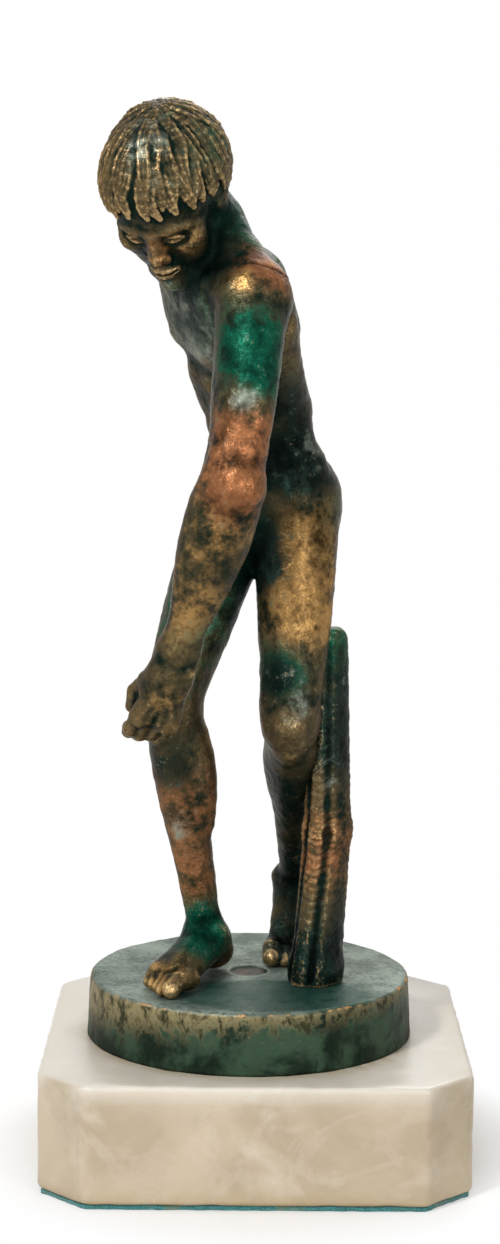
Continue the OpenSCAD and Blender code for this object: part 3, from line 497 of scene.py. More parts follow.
# Fingers: lengths of the fingers beside each other, of the bones of one, and how far each bone is bent
FINGER_SHARES, FINGER_BONES = (0.92, 1, 0.98, 0.78), (0.47, 0.33, 0.26)
FINGER_CURL = {1: (26, 57, 86), -1: (38, 80, 116)}
TAPER = 0.93


def hand_muscles(s):
    along, palm, across, knuckles = hand_frame(s)
    rows = []
    for i, share in enumerate(FINGER_SHARES):
        at = knuckles + PALM_L * ((0.29 - 0.187 * i) * across - 0.03 * abs(i - 1.2) * along)
        r = (1 if i < 3 else 0.88) * FINGER_R
        # Knuckle and the sinew on the back of the hand
        rows.append(lump(at - 0.6 * FINGER_R * palm, 0.5 * FINGER_R, 0.9))
        sinew = wrist(s) + PALM_L * (0.45 * along + (0.12 - 0.08 * i) * across) - 0.85 * WRIST_R * palm
        rows.append(muscle(sinew, 0.2 * FINGER_R, at - FINGER_R * palm, 0.24 * FINGER_R, 1.0))
        for bend, bone in zip(FINGER_CURL[s], FINGER_BONES):
            angle = bend + 3 * i
            end = at + share * bone * PALM_L * (cosd(angle) * along + sind(angle) * palm)
            rows.append(muscle(at, r, end, TAPER * r, 0.45))
            at, r = end, TAPER * r
    # Thumb
    at, r = wrist(s) + PALM_L * (0.35 * along + 0.31 * across + 0.1 * palm), 1.18 * FINGER_R
    for aside in (0.3, -0.15):
        end = at + 0.42 * PALM_L * unit(along + aside * across + 0.55 * palm)
        rows.append(muscle(at, r, end, TAPER * r, 0.6))
        at, r = end, TAPER * r
    return rows


# Muscles of the neck and head
def neck_muscles():
    r = NECK_R
    rows = [muscle(by_chest(COLLAR, -0.2, 0, 0.14, r), 1.05 * r, in_head(-0.3, 0, -0.68), 0.94 * r, 4)]
    for s in (1, -1):
        rows.append(muscle(in_head(-0.34, 0.68 * s, -0.6), 0.34 * r,
                           by_chest(COLLAR, 0.77, 0.29 * s, 0.14, r), 0.24 * r, 2.2))
    return rows


def head_muscles():
    r = HEAD_R
    rows = [
        muscle(in_head(-0.42, 0, 0.38), r, in_head(0.22, 0, 0.42), 0.93 * r),
        muscle(in_head(0.3, 0, -0.08), 0.86 * r, in_head(0.6, 0, -0.95), 0.5 * r, 3, 0, 0.92, HEAD_LEFT),
        lump(in_head(0.93, 0, -1.2), 0.24 * r, 2.5),
    ]
    for s in (1, -1):
        rows += [
            muscle(in_head(-0.05, 0.64 * s, -0.45), 0.28 * r, in_head(0.66, 0.28 * s, -1.12), 0.22 * r),
            muscle(in_head(0.74, 0.55 * s, -0.24), 0.3 * r, in_head(0.62, 0.5 * s, -0.55), 0.28 * r, 2.5),
        ]
    return rows


# Eye, in shares of the head's radius: its middle, its size, its corners' sideways places and its lids
EYE_AT, EYE_R, EYE_CORNERS, LID_R = (0.84, 0.34, 0.0), 0.235, (0.2, 0.54), 0.25
UPPER_LID, LOWER_LID = (0.08, 0.04), (-0.055, 0.03)


def lid_muscles(s, rise, thick):
    """The edge of an eyelid: an arc over the eyeball between the corners of the eye."""
    f, l, u = EYE_AT
    points = []
    for t in np.linspace(0, 1, 7):
        aside, over = mix(*EYE_CORNERS, t), rise * sind(180 * t)
        ahead = math.sqrt(LID_R ** 2 - (aside - l) ** 2 - over ** 2)
        points.append(in_head(f + ahead, s * aside, u + over))
    return [muscle(a, thick * HEAD_R, b, thick * HEAD_R, 0.4) for a, b in zip(points, points[1:])]


def eye_muscles(s):
    r = HEAD_R
    inner, arch = in_head(1.07, 0.13 * s, 0.19), in_head(1.05, 0.36 * s, 0.26)
    outer = in_head(0.9, 0.6 * s, 0.2)
    f, l, u = EYE_AT
    return [
        # Socket, brow and eyeball
        muscle(in_head(1.13, 0.27 * s, 0.04), 0.13 * r, in_head(1.04, 0.5 * s, 0.02), 0.15 * r, 2, cut=True),
        muscle(inner, 0.07 * r, arch, 0.07 * r, 2),
        muscle(arch, 0.07 * r, outer, 0.06 * r, 2),
        lump(in_head(f, l * s, u), EYE_R * r, 0.5),
    ] + lid_muscles(s, *UPPER_LID) + lid_muscles(s, *LOWER_LID)


def nose_muscles():
    r = HEAD_R
    rows = [
        muscle(in_head(1.09, 0, 0.17), 0.07 * r, in_head(1.25, 0, -0.3), 0.095 * r, 1.8),
        lump(in_head(1.27, 0, -0.39), 0.11 * r, 0.8),
    ]
    for s in (1, -1):
        rows += [
            # Slope, wing and nostril
            muscle(in_head(1.03, 0.09 * s, 0.08), 0.06 * r, in_head(1.14, 0.1 * s, -0.38), 0.09 * r, 1.6),
            lump(in_head(1.15, 0.14 * s, -0.45), 0.08 * r, 0.6),
            lump(in_head(1.23, 0.065 * s, -0.51), 0.03 * r, 0.4, cut=True),
        ]
    return rows


def mouth_muscles():
    r = HEAD_R
    rows = [
        # Rounding of the mouth, and the hollows over and under the lips
        lump(in_head(0.99, 0, -0.78), 0.22 * r, 2.4),
        muscle(in_head(1.28, 0, -0.56), 0.03 * r, in_head(1.28, 0, -0.66), 0.035 * r, 0.8, cut=True),
        lump(in_head(1.23, 0, -1.0), 0.07 * r, 1.6, cut=True),
    ]
    for s in (1, -1):
        corner = in_head(1.07, 0.25 * s, -0.8)
        upper, lower = in_head(1.18, 0.12 * s, -0.745), in_head(1.17, 0.11 * s, -0.865)
        seam = in_head(1.215, 0.12 * s, -0.803)
        rows += [
            # Upper lip, lower lip and the line between them
            muscle(corner, 0.03 * r, upper, 0.045 * r, 0.75),
            muscle(upper, 0.045 * r, in_head(1.215, 0.03 * s, -0.755), 0.043 * r, 0.75),
            muscle(corner, 0.03 * r, lower, 0.052 * r, 0.75),
            muscle(lower, 0.052 * r, in_head(1.185, 0, -0.875), 0.06 * r, 0.75),
            muscle(in_head(1.11, 0.25 * s, -0.8), 0.04 * r, seam, 0.06 * r, 0.3, 0, 0.35, HEAD_UP, True),
            muscle(seam, 0.06 * r, in_head(1.255, 0, -0.807), 0.06 * r, 0.3, 0, 0.35, HEAD_UP, True),
        ]
    return rows


def ear_muscles(s):
    r = HEAD_R
    return [
        muscle(in_head(-0.1, 0.9 * s, -0.38), 0.09 * r, in_head(-0.12, 0.99 * s, 0.02), 0.13 * r, 0.8),
        muscle(in_head(0.02, 0.91 * s, -0.3), 0.05 * r, in_head(0.06, 0.95 * s, 0.0), 0.06 * r, 0.5),
        lump(in_head(-0.02, 1.04 * s, -0.1), 0.07 * r, 0.6, cut=True),
    ]


def face_muscles():
    eyes, ears = eye_muscles(1) + eye_muscles(-1), ear_muscles(1) + ear_muscles(-1)
    return eyes + nose_muscles() + mouth_muscles() + ears


def hair_cap():
    r = HEAD_R
    rows = [
        muscle(in_head(-0.45, 0, 0.46), 1.13 * r, in_head(0.1, 0, 0.68), 1.05 * r, 1.0),
        muscle(in_head(-0.66, 0, -0.25), 0.85 * r, in_head(-0.5, 0, 0.34), 1.08 * r, 2),
    ]
    for s in (1, -1):
        rows.append(muscle(in_head(-0.1, 0.78 * s, -0.05), 0.29 * r,
                           in_head(-0.17, 0.82 * s, 0.51), 0.36 * r, 2))
    return rows


# Rows of hair, from the crown out: how many locks, and where they start and end on the way to the brim
HAIR_ROWS = ((14, 0.02, 0.36), (22, 0.2, 0.58), (30, 0.4, 0.8), (33, 0.55, 0.93), (37, 0.66, 1.0))
# Along a lock: how far its strands spread, and their thickness
LOCK_SPREAD = (0.45, 0.75, 0.9, 0.92, 0.82, 0.6, 0.26)
STRAND_SWELL = (0.7, 0.95, 1.0, 1.0, 0.92, 0.75, 0.45)
STRAND_SIDES, STRAND_R = (-1.0, 0.0, 1.0), 0.48
ROOT_LIFT, TIP_LIFT = -0.28, 0.08
HAIR_SEED = 4
# Chance in a lock: of its turn in shares of a gap, of its brim, hook and wave in degrees, and of its strands
TURN_CHANCE, BRIM_CHANCE, HOOK_CHANCE, WAVE_CHANCE = (-0.2, 0.2), (-3, 3), (3, 11), (1, 5)
STRAND_CHANCE, STRAND_BLEND = (0.85, 1.1), 0.25
# Angles from the crown to the brim at the temples, and what the fringe and the nape add; where locks part
BRIM, FRINGE, NAPE, PARTING = 97, 12, 20, 10
HAIR_CENTRE, LANDING_STEPS = in_head(-0.15, 0, 0.3), 10


def brim(turn):
    """Angle from the crown at which the hair ends, on that side of the head."""
    front = cosd(turn)
    return BRIM + FRINGE * max(front, 0) ** 2 + NAPE * max(-front, 0)


def lock_path(turn, first, last, wave, phase, hook, cap):
    """Points along a lock that lies on the cap, and the directions across it."""
    side = unit(np.cross(CROWN, HEAD_FRONT))
    ahead = np.cross(side, CROWN)
    steps = np.linspace(0, 1, len(LOCK_SPREAD))
    polar = np.radians(mix(first, last, steps))[:, None]
    a = np.radians(turn + wave * np.sin(np.radians(phase + 180 * steps)) + hook * steps ** 2)[:, None]
    rays = np.cos(polar) * CROWN + np.sin(polar) * (np.cos(a) * ahead + np.sin(a) * side)
    far = np.full(len(rays), 2 * HEAD_R)
    for _ in range(LANDING_STEPS):
        far -= field(HAIR_CENTRE + rays * far[:, None], cap)
    points = HAIR_CENTRE + rays * (far + mix(ROOT_LIFT, TIP_LIFT, steps))[:, None]
    across = np.cross(np.gradient(points, axis=0), rays)
    return points, across / np.linalg.norm(across, axis=1)[:, None]


def hair_locks():
    """Locks of three strands each, combed from the crown to the fringe, the temples and the nape."""
    draw = random.Random(HAIR_SEED)
    cap = hair_cap() + head_muscles()
    rows = []
    for count, start, end in HAIR_ROWS:
        for i in range(count):
            turn = 360 * (i + draw.uniform(*TURN_CHANCE)) / count
            edge = brim(turn) + draw.uniform(*BRIM_CHANCE)
            hook = math.copysign(draw.uniform(*HOOK_CHANCE), sind(turn + PARTING))
            wave, phase = draw.uniform(*WAVE_CHANCE), draw.uniform(0, 360)
            points, across = lock_path(turn, start * edge, end * edge, wave, phase, hook, cap)
            for q in STRAND_SIDES:
                line = points + across * (q * draw.uniform(*STRAND_CHANCE) * np.array(LOCK_SPREAD))[:, None]
                thick = STRAND_R * draw.uniform(*STRAND_CHANCE) * np.array(STRAND_SWELL)
                for j in range(len(line) - 1):
                    rows.append(muscle(line[j], thick[j], line[j + 1], thick[j + 1], STRAND_BLEND))
    return rows


# Tree stump: two bent stems grown together, thickest at the foot, with shallow furrows in the bark
FURROW_TURNS = (25, 150, 215, 330)
FURROW_TWIST = 14


def flat_dir(turn):
    return vec(cosd(turn), sind(turn), 0)


def stump_muscles():
    r = STUMP_R
    rows = [lump(STUMP_FOOT + 0.6 * r * UP, 1.2 * r, 4)]
    for q in (1, -1):
        low, bend, top = STUMP_FOOT + 0.42 * q * r * FORWARD, STUMP_BEND + 0.38 * q * r * FORWARD, STUMP_TOP
        rows.append(muscle(low, 0.9 * r, bend, 0.8 * r, 2))
        rows.append(muscle(bend, 0.8 * r, top + 0.3 * q * r * FORWARD, 0.66 * r, 2))
    for turn in FURROW_TURNS:
        lean = flat_dir(turn + FURROW_TWIST)
        rows.append(muscle(STUMP_FOOT + 1.35 * r * flat_dir(turn), 0.12 * r,
                           STUMP_BEND + 1.13 * r * lean, 0.12 * r, 1.4, cut=True))
        rows.append(muscle(STUMP_BEND + 1.13 * r * lean, 0.12 * r,
                           STUMP_TOP + 1.02 * r * lean, 0.1 * r, 1.4, cut=True))
    return rows


# Patina, painted shade and painted highlights: coloured places, each a point, its spread and its strength;
# FACING is towards the front's viewer
FACING, BESIDE = unit(vec(0.78, 0.63, 0)), unit(vec(-0.63, 0.78, 0))


def shifted(at, facing=0.0, beside=0.0, above=0.0):
    return at + facing * FACING + beside * BESIDE + above * UP


def on_limb(joints, t):
    """A point of a limb: t is 0 at its first joint, 1 at the second and 2 at the third."""
    first, second, third = joints
    return mix(first, second, t) if t < 1 else mix(second, third, t - 1)


def on_arm(t, facing=0.0, beside=0.0):
    return shifted(on_limb((shoulder(1), elbow(1), wrist(1)), t), facing, beside)


def on_leg(s, t, facing=0.0, beside=0.0):
    return shifted(on_limb((hip(s), knee(s), ankle(s)), t), facing, beside)


def patina_shade_and_highlight_spots():
    return {
        "green": [
            (on_arm(0.25, 6), 8, 1.2), (on_arm(0.4, 5, 4), 5, 0.6), (on_arm(1.8, 0, 5), 7, 0.5),
            (on_leg(1, 0.76, 7, -2), 7, 0.75), (on_leg(1, 1.9), 12, 0.5), (on_leg(-1, 0.6), 14, 0.65),
            (on_leg(-1, 1.97, 3), 7, 1.1), (mix(ankle(-1), ball(-1), 0.4), 6, 0.7),
            (shifted(PELVIS, 4, 12, -4), 9, 0.5), (shifted(PELVIS, 8, -5, -9), 9, 0.7),
            (shifted(CHEST, 10, -4, 6), 10, 0.7), (CHEST - 12 * CHEST_FRONT, 22, 0.5),
            (shifted(COLLAR, 2, 8, 8), 10, 0.9), (in_head(-0.3, 0.6, 1.0), 9, 0.5),
        ],
        "copper": [
            (shifted(shoulder(1), 4, 3, 8), 7, 1.1), (on_arm(0.78, 5), 8, 1.2), (on_arm(1.05, 5, 1), 7, 0.8),
            (on_leg(-1, 1.45, 3), 12, 0.55), (on_leg(-1, 1.75, 3), 7, 0.5), (on_leg(1, 0.5, 7, -3), 7, 0.5),
            (elbow(-1), 10, 0.6), (shifted(CHEST, 9, -6, -4), 5, 0.7), (in_head(1.2, 0, -0.2), 5, 0.45),
        ],
        "gold": [
            (on_leg(1, 0.14, 8, 2), 8, 1.1), (on_leg(1, 0.45, 8, 2), 9, 1.2), (hip(1) - 10 * FORWARD, 9, 0.4),
            (hip(-1) - 10 * LEFT, 12, 0.4), (ball(-1) + 5 * FORWARD, 7, 0.7), (shifted(WAIST, 3, 10), 7, 0.8),
            (on_arm(1.3, 5), 7, 0.45), (on_arm(1.66, 4), 8, 0.6), (shifted(wrist(1), 4, -2, -9), 7, 0.4),
            # The first spot here is a painted highlight: a thin bright gold line on the front of the left
            # shoulder
            (shifted(shoulder(1), 7, -2, 5), 3, 1.0), (shoulder(-1), 10, 0.45),
            # The first spot here is a gold patch on the left cheek, partly a painted highlight
            (in_head(0.85, 0.45, -0.3), 5, 0.7), (in_head(0.1, -0.8, 0.9), 7, 0.6),
        ],
        # Mostly painted shade: in the recess between the left arm and the flank, between the thighs, down the
        # inner left thigh to the knee, on the trailing left shin and foot, at the right knee under the hand
        # and on the neck under the bowed head; the spots on the right shin, the forearm and the hair are
        # darker patina
        "dark": [
            (shifted(PELVIS, 9, 5, 8), 9, 1.6), (shifted(WAIST, 10, 5, 5), 8, 1.1),
            (mix(hip(1), hip(-1), 0.5) - 9 * UP, 10, 0.9), (on_leg(1, 0.25, 7, -7), 6, 1.0),
            (on_leg(1, 0.78, 7, -4), 6, 0.9), (on_leg(1, 1.35), 11, 1.1), (on_leg(1, 1.8), 11, 1.1),
            (on_leg(-1, 0.9), 9, 0.6), (on_leg(-1, 1.25, 4, -2), 6, 0.8), (on_leg(-1, 1.6, -3, 4), 8, 0.5),
            (heel(1), 9, 0.9), (ball(1) + 4 * FORWARD, 9, 1.0), (on_arm(1.45, 4, 4), 5, 0.5),
            (shifted(COLLAR, 7, 2), 7, 0.9), (in_head(-0.1, 0.1, 0.9), 12, 0.55),
        ],
        "grey": [
            # The first spot here, a small pale mark on the left upper arm, is partly a painted highlight
            (on_arm(0.54, 6), 3, 0.9), (shifted(CHEST, 8, -8), 9, 1.1), (shifted(PELVIS, 9, 9, 10), 4, 0.7),
            (on_leg(-1, 1.5, 5, -2), 4, 0.5), (on_leg(1, 0.9, 7, 2), 4, 0.5),
            # A painted highlight on the crown of the hair
            (in_head(0.3, 0.1, 1.5), 5, 0.7),
        ],
    }


def stump_spots():
    def up_stump(t):
        return mix(STUMP_FOOT, STUMP_TOP, t)

    return {
        "green": [(STUMP_FOOT, 18, 0.7), (STUMP_TOP, 16, 0.8)],
        "copper": [(up_stump(0.4), 12, 0.6)],
        "gold": [(up_stump(0.52), 7, 0.4)],
        "dark": [(STUMP_FOOT, 15, 1.5), (up_stump(0.78), 16, 1.0)],
        "grey": [(up_stump(0.6), 6, 0.3)],
    }


TINTS = ("copper", "gold", "green", "dark", "grey")


def spread(points, spots):
    """How strongly the spots colour each point."""
    total = np.zeros(len(points))
    for at, radius, amount in spots:
        total += amount * np.exp(-((points - at) ** 2).sum(1) / radius ** 2)
    return total


# Unevenness of hand-made surfaces: how fast its finer layers fade, their scale and their number
WAVE_FADE, WAVE_SCALE, WAVE_LAYERS = 0.8, 2.0, 3


def waves(points, size, seed=0, fade=WAVE_FADE):
    shift = Vector((seed, 0, 0))
    return np.array([noise.fractal(Vector(p) / size + shift, fade, WAVE_SCALE, WAVE_LAYERS) for p in points])


def hand_made(points, normals, amount, size, seed):
    """Moves points in and out by a little, as tools leave a modelled surface."""
    return points + normals * (amount * waves(points, size, seed))[:, None]


def to_world(points):
    ahead = vec(-sind(HEADING), -cosd(HEADING), 0)
    aside = vec(cosd(HEADING), -sind(HEADING), 0)
    place = vec(PLINTH_X, PLINTH_Y, PLINTH_TOP)
    return MM * (place + points[:, :1] * ahead + points[:, 1:2] * aside + points[:, 2:] * UP)


def new_piece(name, points, faces, slot, material, *nodes):
    mesh = bpy.data.meshes.new(name)
    mesh.from_pydata(points.tolist(), [], faces if isinstance(faces, list) else faces.tolist())
    mesh.update()
    mesh.shade_smooth()
    mesh.materials.append(material)
    piece = bpy.data.objects.new(name, mesh)
    bpy.context.scene.collection.objects.link(piece)
    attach(piece, "root")
    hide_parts(*nodes)
    return piece


def paint(piece, name, values):
    layer = piece.data.attributes.new(name, "FLOAT", "POINT")
    layer.data.foreach_set("value", np.asarray(values, np.float32))


def normals_of(points, faces):
    n = np.zeros_like(points)
    a, b, c, d = (points[faces[:, i]] for i in range(4))
    face = np.cross(c - a, d - b)
    for i in range(4):
        np.add.at(n, faces[:, i], face)
    return n / np.maximum(np.linalg.norm(n, axis=1), 1e-9)[:, None]


# Castings, in millimetres: widths over which edges stand out, reach of fillets, and room round the muscles
RAISED_WIDTHS, ALLOWANCE, ROOM, HEAD_ROOM = (1.6, 5.0), 1.5, 3, 4 - 0.55 * HEAD_R
# Their tool marks, the cells of their clay, the softness of the soles' edge and how far the arms are drawn in
MARK_DEPTH, MARK_SIZE, HEAD_MARK_SIZE, MARK_SEED = 0.15, 3.0, 2.0, 7
BODY_CELL, HEAD_CELL, ARM_CELL, STUMP_CELL = 0.5, 0.2, 0.36, 0.3
SOLE_EDGE, ARM_INSET = 0.4, 0.14


def reach_of(muscles, room):
    """Lowest and highest corner of the space that muscles take up."""
    ends = np.array([m[i] for m in muscles for i in (0, 2)])
    girth = max(max(m[1], m[3]) for m in muscles)
    return ends.min(0) - girth - room, ends.max(0) + girth + room


def raised_edges(clay, points, inset=0.0):
    """How far each point stands out from what is around it, close by and further off."""
    return [(clay.sample(clay.softened(width), points) + inset) / width for width in RAISED_WIDTHS]


def paint_patina_shade_and_highlight(piece, points, raised, spots):
    for name, values in zip(("fine_edge", "broad_edge"), raised):
        paint(piece, name, values)
    for tint in TINTS:
        paint(piece, tint, spread(points, spots[tint]))


def cast_piece(name, node, own, everything, room, cell, mark_size, inset, material):
    """One casting: its own muscles, with the fillets where it joins the rest, as a closed skin."""
    low, high = reach_of(own, room)
    whole = Clay(low, high, cell).add(everything).above(0, SOLE_EDGE)
    alone = Clay(low, high, cell).add(own)
    points, faces = whole.surface(np.maximum(whole.d, alone.d - ALLOWANCE) + np.float32(inset))
    raised = raised_edges(whole, points, inset)
    points = hand_made(points, normals_of(points, faces), MARK_DEPTH, mark_size, MARK_SEED)
    points[:, 2] = np.maximum(points[:, 2], 0)
    piece = new_piece(name, to_world(points), faces, "figure_bronze", material, node)
    paint_patina_shade_and_highlight(piece, points, raised, patina_shade_and_highlight_spots())


# Materials
class Look:
    """The nodes of a material, or of the world, being put together."""

    def __init__(self, owner):
        owner.use_nodes = True
        self.owner = owner
        self.tree = owner.node_tree

    def node(self, kind, **inputs):
        made = self.tree.nodes.new(kind)
        for name, value in inputs.items():
            self.feed(made.inputs[name.replace("_", " ")], value)
        return made

    def feed(self, socket, value):
        if isinstance(value, bpy.types.NodeSocket):
            self.tree.links.new(value, socket)
        elif isinstance(value, tuple) and len(value) == 3 and socket.type == "RGBA":
            socket.default_value = (*value, 1)
        else:
            socket.default_value = value

    def place(self):
        return self.node("ShaderNodeTexCoord").outputs["Object"]

    def attribute(self, name):
        made = self.node("ShaderNodeAttribute")
        made.attribute_name = name
        return made.outputs["Fac"]

    def grain(self, size, detail=4.0, rough=0.55, twist=0.0, stretch=None):
        """Cloudy noise whose clouds are about size millimetres wide."""
        place = self.place()
        if stretch:
            place = self.node("ShaderNodeMapping", Vector=place, Scale=stretch).outputs["Vector"]
        made = self.node("ShaderNodeTexNoise", Vector=place, Scale=1 / (size * MM), Detail=detail,
                         Roughness=rough, Distortion=twist)
        return made.outputs["Fac"]

    def calc(self, operation, *values):
        made = self.node("ShaderNodeMath")
        made.operation = operation
        for socket, value in zip(made.inputs, values):
            self.feed(socket, value)
        return made.outputs[0]

    def total(self, start, *terms):
        """The sum of a start and of values times their weights."""
        for value, weight in terms:
            start = self.calc("MULTIPLY_ADD", value, weight, start)
        return start

    def step(self, value, low, high, bottom=0.0, top=1.0):
        """Eases from bottom to top as value goes from low to high."""
        made = self.node("ShaderNodeMapRange")
        made.interpolation_type = "SMOOTHSTEP"
        for socket, v in zip(made.inputs, (value, low, high, bottom, top)):
            self.feed(socket, v)
        return made.outputs["Result"]

    def tint(self, share, a, b):
        """The colour a, with a share of b."""
        made = self.node("ShaderNodeMix")
        made.data_type = "RGBA"
        for i, value in ((0, share), (6, a), (7, b)):
            self.feed(made.inputs[i], value)
        return made.outputs[2]

    def layers(self, colour, *rows):
        """A colour with others over it, each with its share and a value that brings it in."""
        for shade, share, value, low, high in rows:
            colour = self.tint(self.step(value, low, high, 0.0, share), colour, shade)
        return colour

    def bump(self, height, distance, strength):
        made = self.node("ShaderNodeBump", Height=height, Distance=distance * MM, Strength=strength)
        return made.outputs["Normal"]

    def seen(self):
        """1 on rays that show a surface or its reflection, and 0 on those that carry light."""
        ray = self.node("ShaderNodeLightPath").outputs
        mirrored = self.calc("MAXIMUM", ray["Is Glossy Ray"], ray["Is Transmission Ray"])
        return self.calc("MAXIMUM", ray["Is Camera Ray"], mirrored)

    def finish(self, **inputs):
        shader = self.tree.nodes["Principled BSDF"]
        for name, value in inputs.items():
            self.feed(shader.inputs[name.replace("_", " ")], value)
        return self.owner


def new_look(name):
    return Look(bpy.data.materials.new(name))


# Shades of the patina, where dark also serves as painted shade, and grey and gold in places as painted
# highlights: each has a deep and a light colour
SHADES = {
    "brown": ((0.003, 0.011, 0.008), (0.115, 0.080, 0.036)),
    "copper": ((0.022, 0.011, 0.005), (0.340, 0.135, 0.055)),
    "gold": ((0.024, 0.015, 0.005), (0.420, 0.235, 0.080)),
    "green": ((0.001, 0.012, 0.008), (0.004, 0.092, 0.052)),
    "dark": ((0.001, 0.003, 0.0025), (0.008, 0.024, 0.019)),
    "grey": ((0.020, 0.030, 0.025), (0.230, 0.260, 0.210)),
}
BRIGHT, SOOT, EDGE_TINT = (0.62, 0.42, 0.20), (0.003, 0.005, 0.004), (0.40, 0.35, 0.26)


def bronze(name):
    """Old patinated bronze: mottled, dark in the hollows, and rubbed bright, partly a painted highlight, on
    what stands out.
    """
    look = new_look(name)
    grit, fleck = look.grain(0.5, 3, 0.6), look.grain(1.5, 5, 0.65)
    patch, cloud = look.grain(4, 6, 0.65), look.grain(10, 6, 0.6, 0.4)
    fine, broad = look.attribute("fine_edge"), look.attribute("broad_edge")
    lifted = look.total(cloud, (patch, 1.5), (fleck, 0.8), (broad, 3.6), (fine, 4.0))
    tone = look.step(lifted, 1.40, 2.40)
    ragged = look.total(-1.27, (patch, 1.8), (fleck, 0.7))
    masks = {tint: look.step(look.calc("ADD", look.attribute(tint), ragged), 0.15, 0.85) for tint in TINTS}
    # The dark tint lays painted shade over the patina, and the grey and gold tints in places painted
    # highlights
    levels = []
    for level in (0, 1):
        colour = SHADES["brown"][level]
        for tint in TINTS:
            colour = look.tint(masks[tint], colour, SHADES[tint][level])
        levels.append(colour)
    colour = look.tint(tone, *levels)
    # Rubbed-bright edges, partly a painted highlight on what stands out most
    rub_and_highlight = look.total(fleck, (grit, 1.2), (fine, 5.0))
    colour = look.layers(colour, (BRIGHT, 0.6, rub_and_highlight, 1.35, 2.0), (SOOT, 0.6, fleck, 0.34, 0.25))
    dulled = look.step(masks["green"], 0.0, 1.0, 1.0, 0.3)
    shine = look.calc("MULTIPLY", dulled, look.total(0.08, (tone, 0.4)))
    return look.finish(Base_Color=colour, Metallic=look.total(0.35, (masks["green"], -0.2), (tone, 0.4)),
                       Roughness=look.total(0.18, (patch, 0.25), (tone, -0.08)), Specular_Tint=EDGE_TINT,
                       Specular_IOR_Level=shine, Normal=look.bump(look.total(fleck, (grit, 0.5)), 0.35, 0.6))


# Colours of the marble: its ground, what lightens it, with PALE also as painted light on its top, its veins,
# and what has stained it
CREAM, TAN, MILK, PALE = (0.50, 0.41, 0.295), (0.38, 0.30, 0.20), (0.62, 0.565, 0.475), (0.76, 0.74, 0.68)
VEIN, VEIN_EDGE = (0.36, 0.28, 0.19), (0.72, 0.68, 0.60)
RUST, SOIL, SPECK = (0.30, 0.20, 0.06), (0.22, 0.18, 0.12), (0.45, 0.38, 0.28)


def marble():
    look = new_look("cream_marble")
    cloud, patch, fine = look.grain(38, 6, 0.6, 0.6), look.grain(14, 6, 0.6, 0.4), look.grain(1.2, 4, 0.6)
    vein = look.calc("ABSOLUTE", look.calc("SUBTRACT", look.grain(30, 5, 0.55, 1.6, (1.0, 0.7, 1.6)), 0.5))
    stain = look.calc("MULTIPLY", look.attribute("stain"), look.step(patch, 0.3, 0.6, 0.35, 1.0))
    spot = look.calc("MULTIPLY", look.attribute("spot"), look.step(fine, 0.3, 0.6))
    colour = look.layers(CREAM, (TAN, 1.0, cloud, 0.36, 0.66), (MILK, 0.5, patch, 0.5, 0.75),
                         (VEIN, 0.2, vein, 0.010, 0.0), (VEIN_EDGE, 0.07, vein, 0.05, 0.02))
    # The pale share lightens the edges and paints light on the top
    for share, shade in ((look.attribute("pale_edges_and_painted_top_light"), PALE), (stain, RUST), (spot, SOIL)):
        colour = look.tint(share, colour, shade)
    colour = look.layers(colour, (SPECK, 0.35, fine, 0.68, 0.76))
    return look.finish(Base_Color=colour, Roughness=look.step(patch, 0.3, 0.7, 0.30, 0.48),
                       Specular_IOR_Level=0.45, Normal=look.bump(fine, 0.12, 0.25))


DEEP_FELT, LIGHT_FELT, FADED_FELT = (0.010, 0.085, 0.080), (0.05, 0.24, 0.24), (0.22, 0.20, 0.08)


def felt():
    look = new_look("green_felt")
    fluff, cloud = look.grain(0.35, 3, 0.7), look.grain(6, 4, 0.6)
    colour = look.layers(DEEP_FELT, (LIGHT_FELT, 1.0, fluff, 0.35, 0.65), (FADED_FELT, 0.6, cloud, 0.5, 0.75))
    return look.finish(Base_Color=colour, Roughness=0.95, Sheen_Weight=0.4, Normal=look.bump(fluff, 0.3, 0.8))


BRASS, DULL_BRASS = (0.48, 0.32, 0.11), (0.22, 0.14, 0.06)


def brass():
    look = new_look("old_brass")
    cloud, scratch = look.grain(3, 5, 0.6), look.grain(0.6, 4, 0.6, 0.0, (1.0, 1.0, 6.0))
    colour = look.layers(BRASS, (DULL_BRASS, 1.0, cloud, 0.35, 0.7))
    return look.finish(Base_Color=colour, Metallic=0.9, Roughness=look.step(scratch, 0.3, 0.7, 0.28, 0.5),
                       Normal=look.bump(scratch, 0.1, 0.3))


# Colours of the plinth, deep and light: its side, the green low on it, its top, its worn rim that is partly a
# painted highlight, and what is stained
SIDE_DEEP, SIDE_LIGHT = (0.026, 0.027, 0.013), (0.260, 0.215, 0.110)
LOW_DEEP, LOW_LIGHT = (0.005, 0.014, 0.009), (0.034, 0.064, 0.039)
TOP_DEEP, TOP_LIGHT, POOL_GREEN = (0.060, 0.092, 0.080), (0.215, 0.265, 0.230), (0.006, 0.045, 0.034)
WORN_COPPER_AND_HIGHLIGHT, DUST = (0.46, 0.27, 0.12), (0.28, 0.25, 0.18)


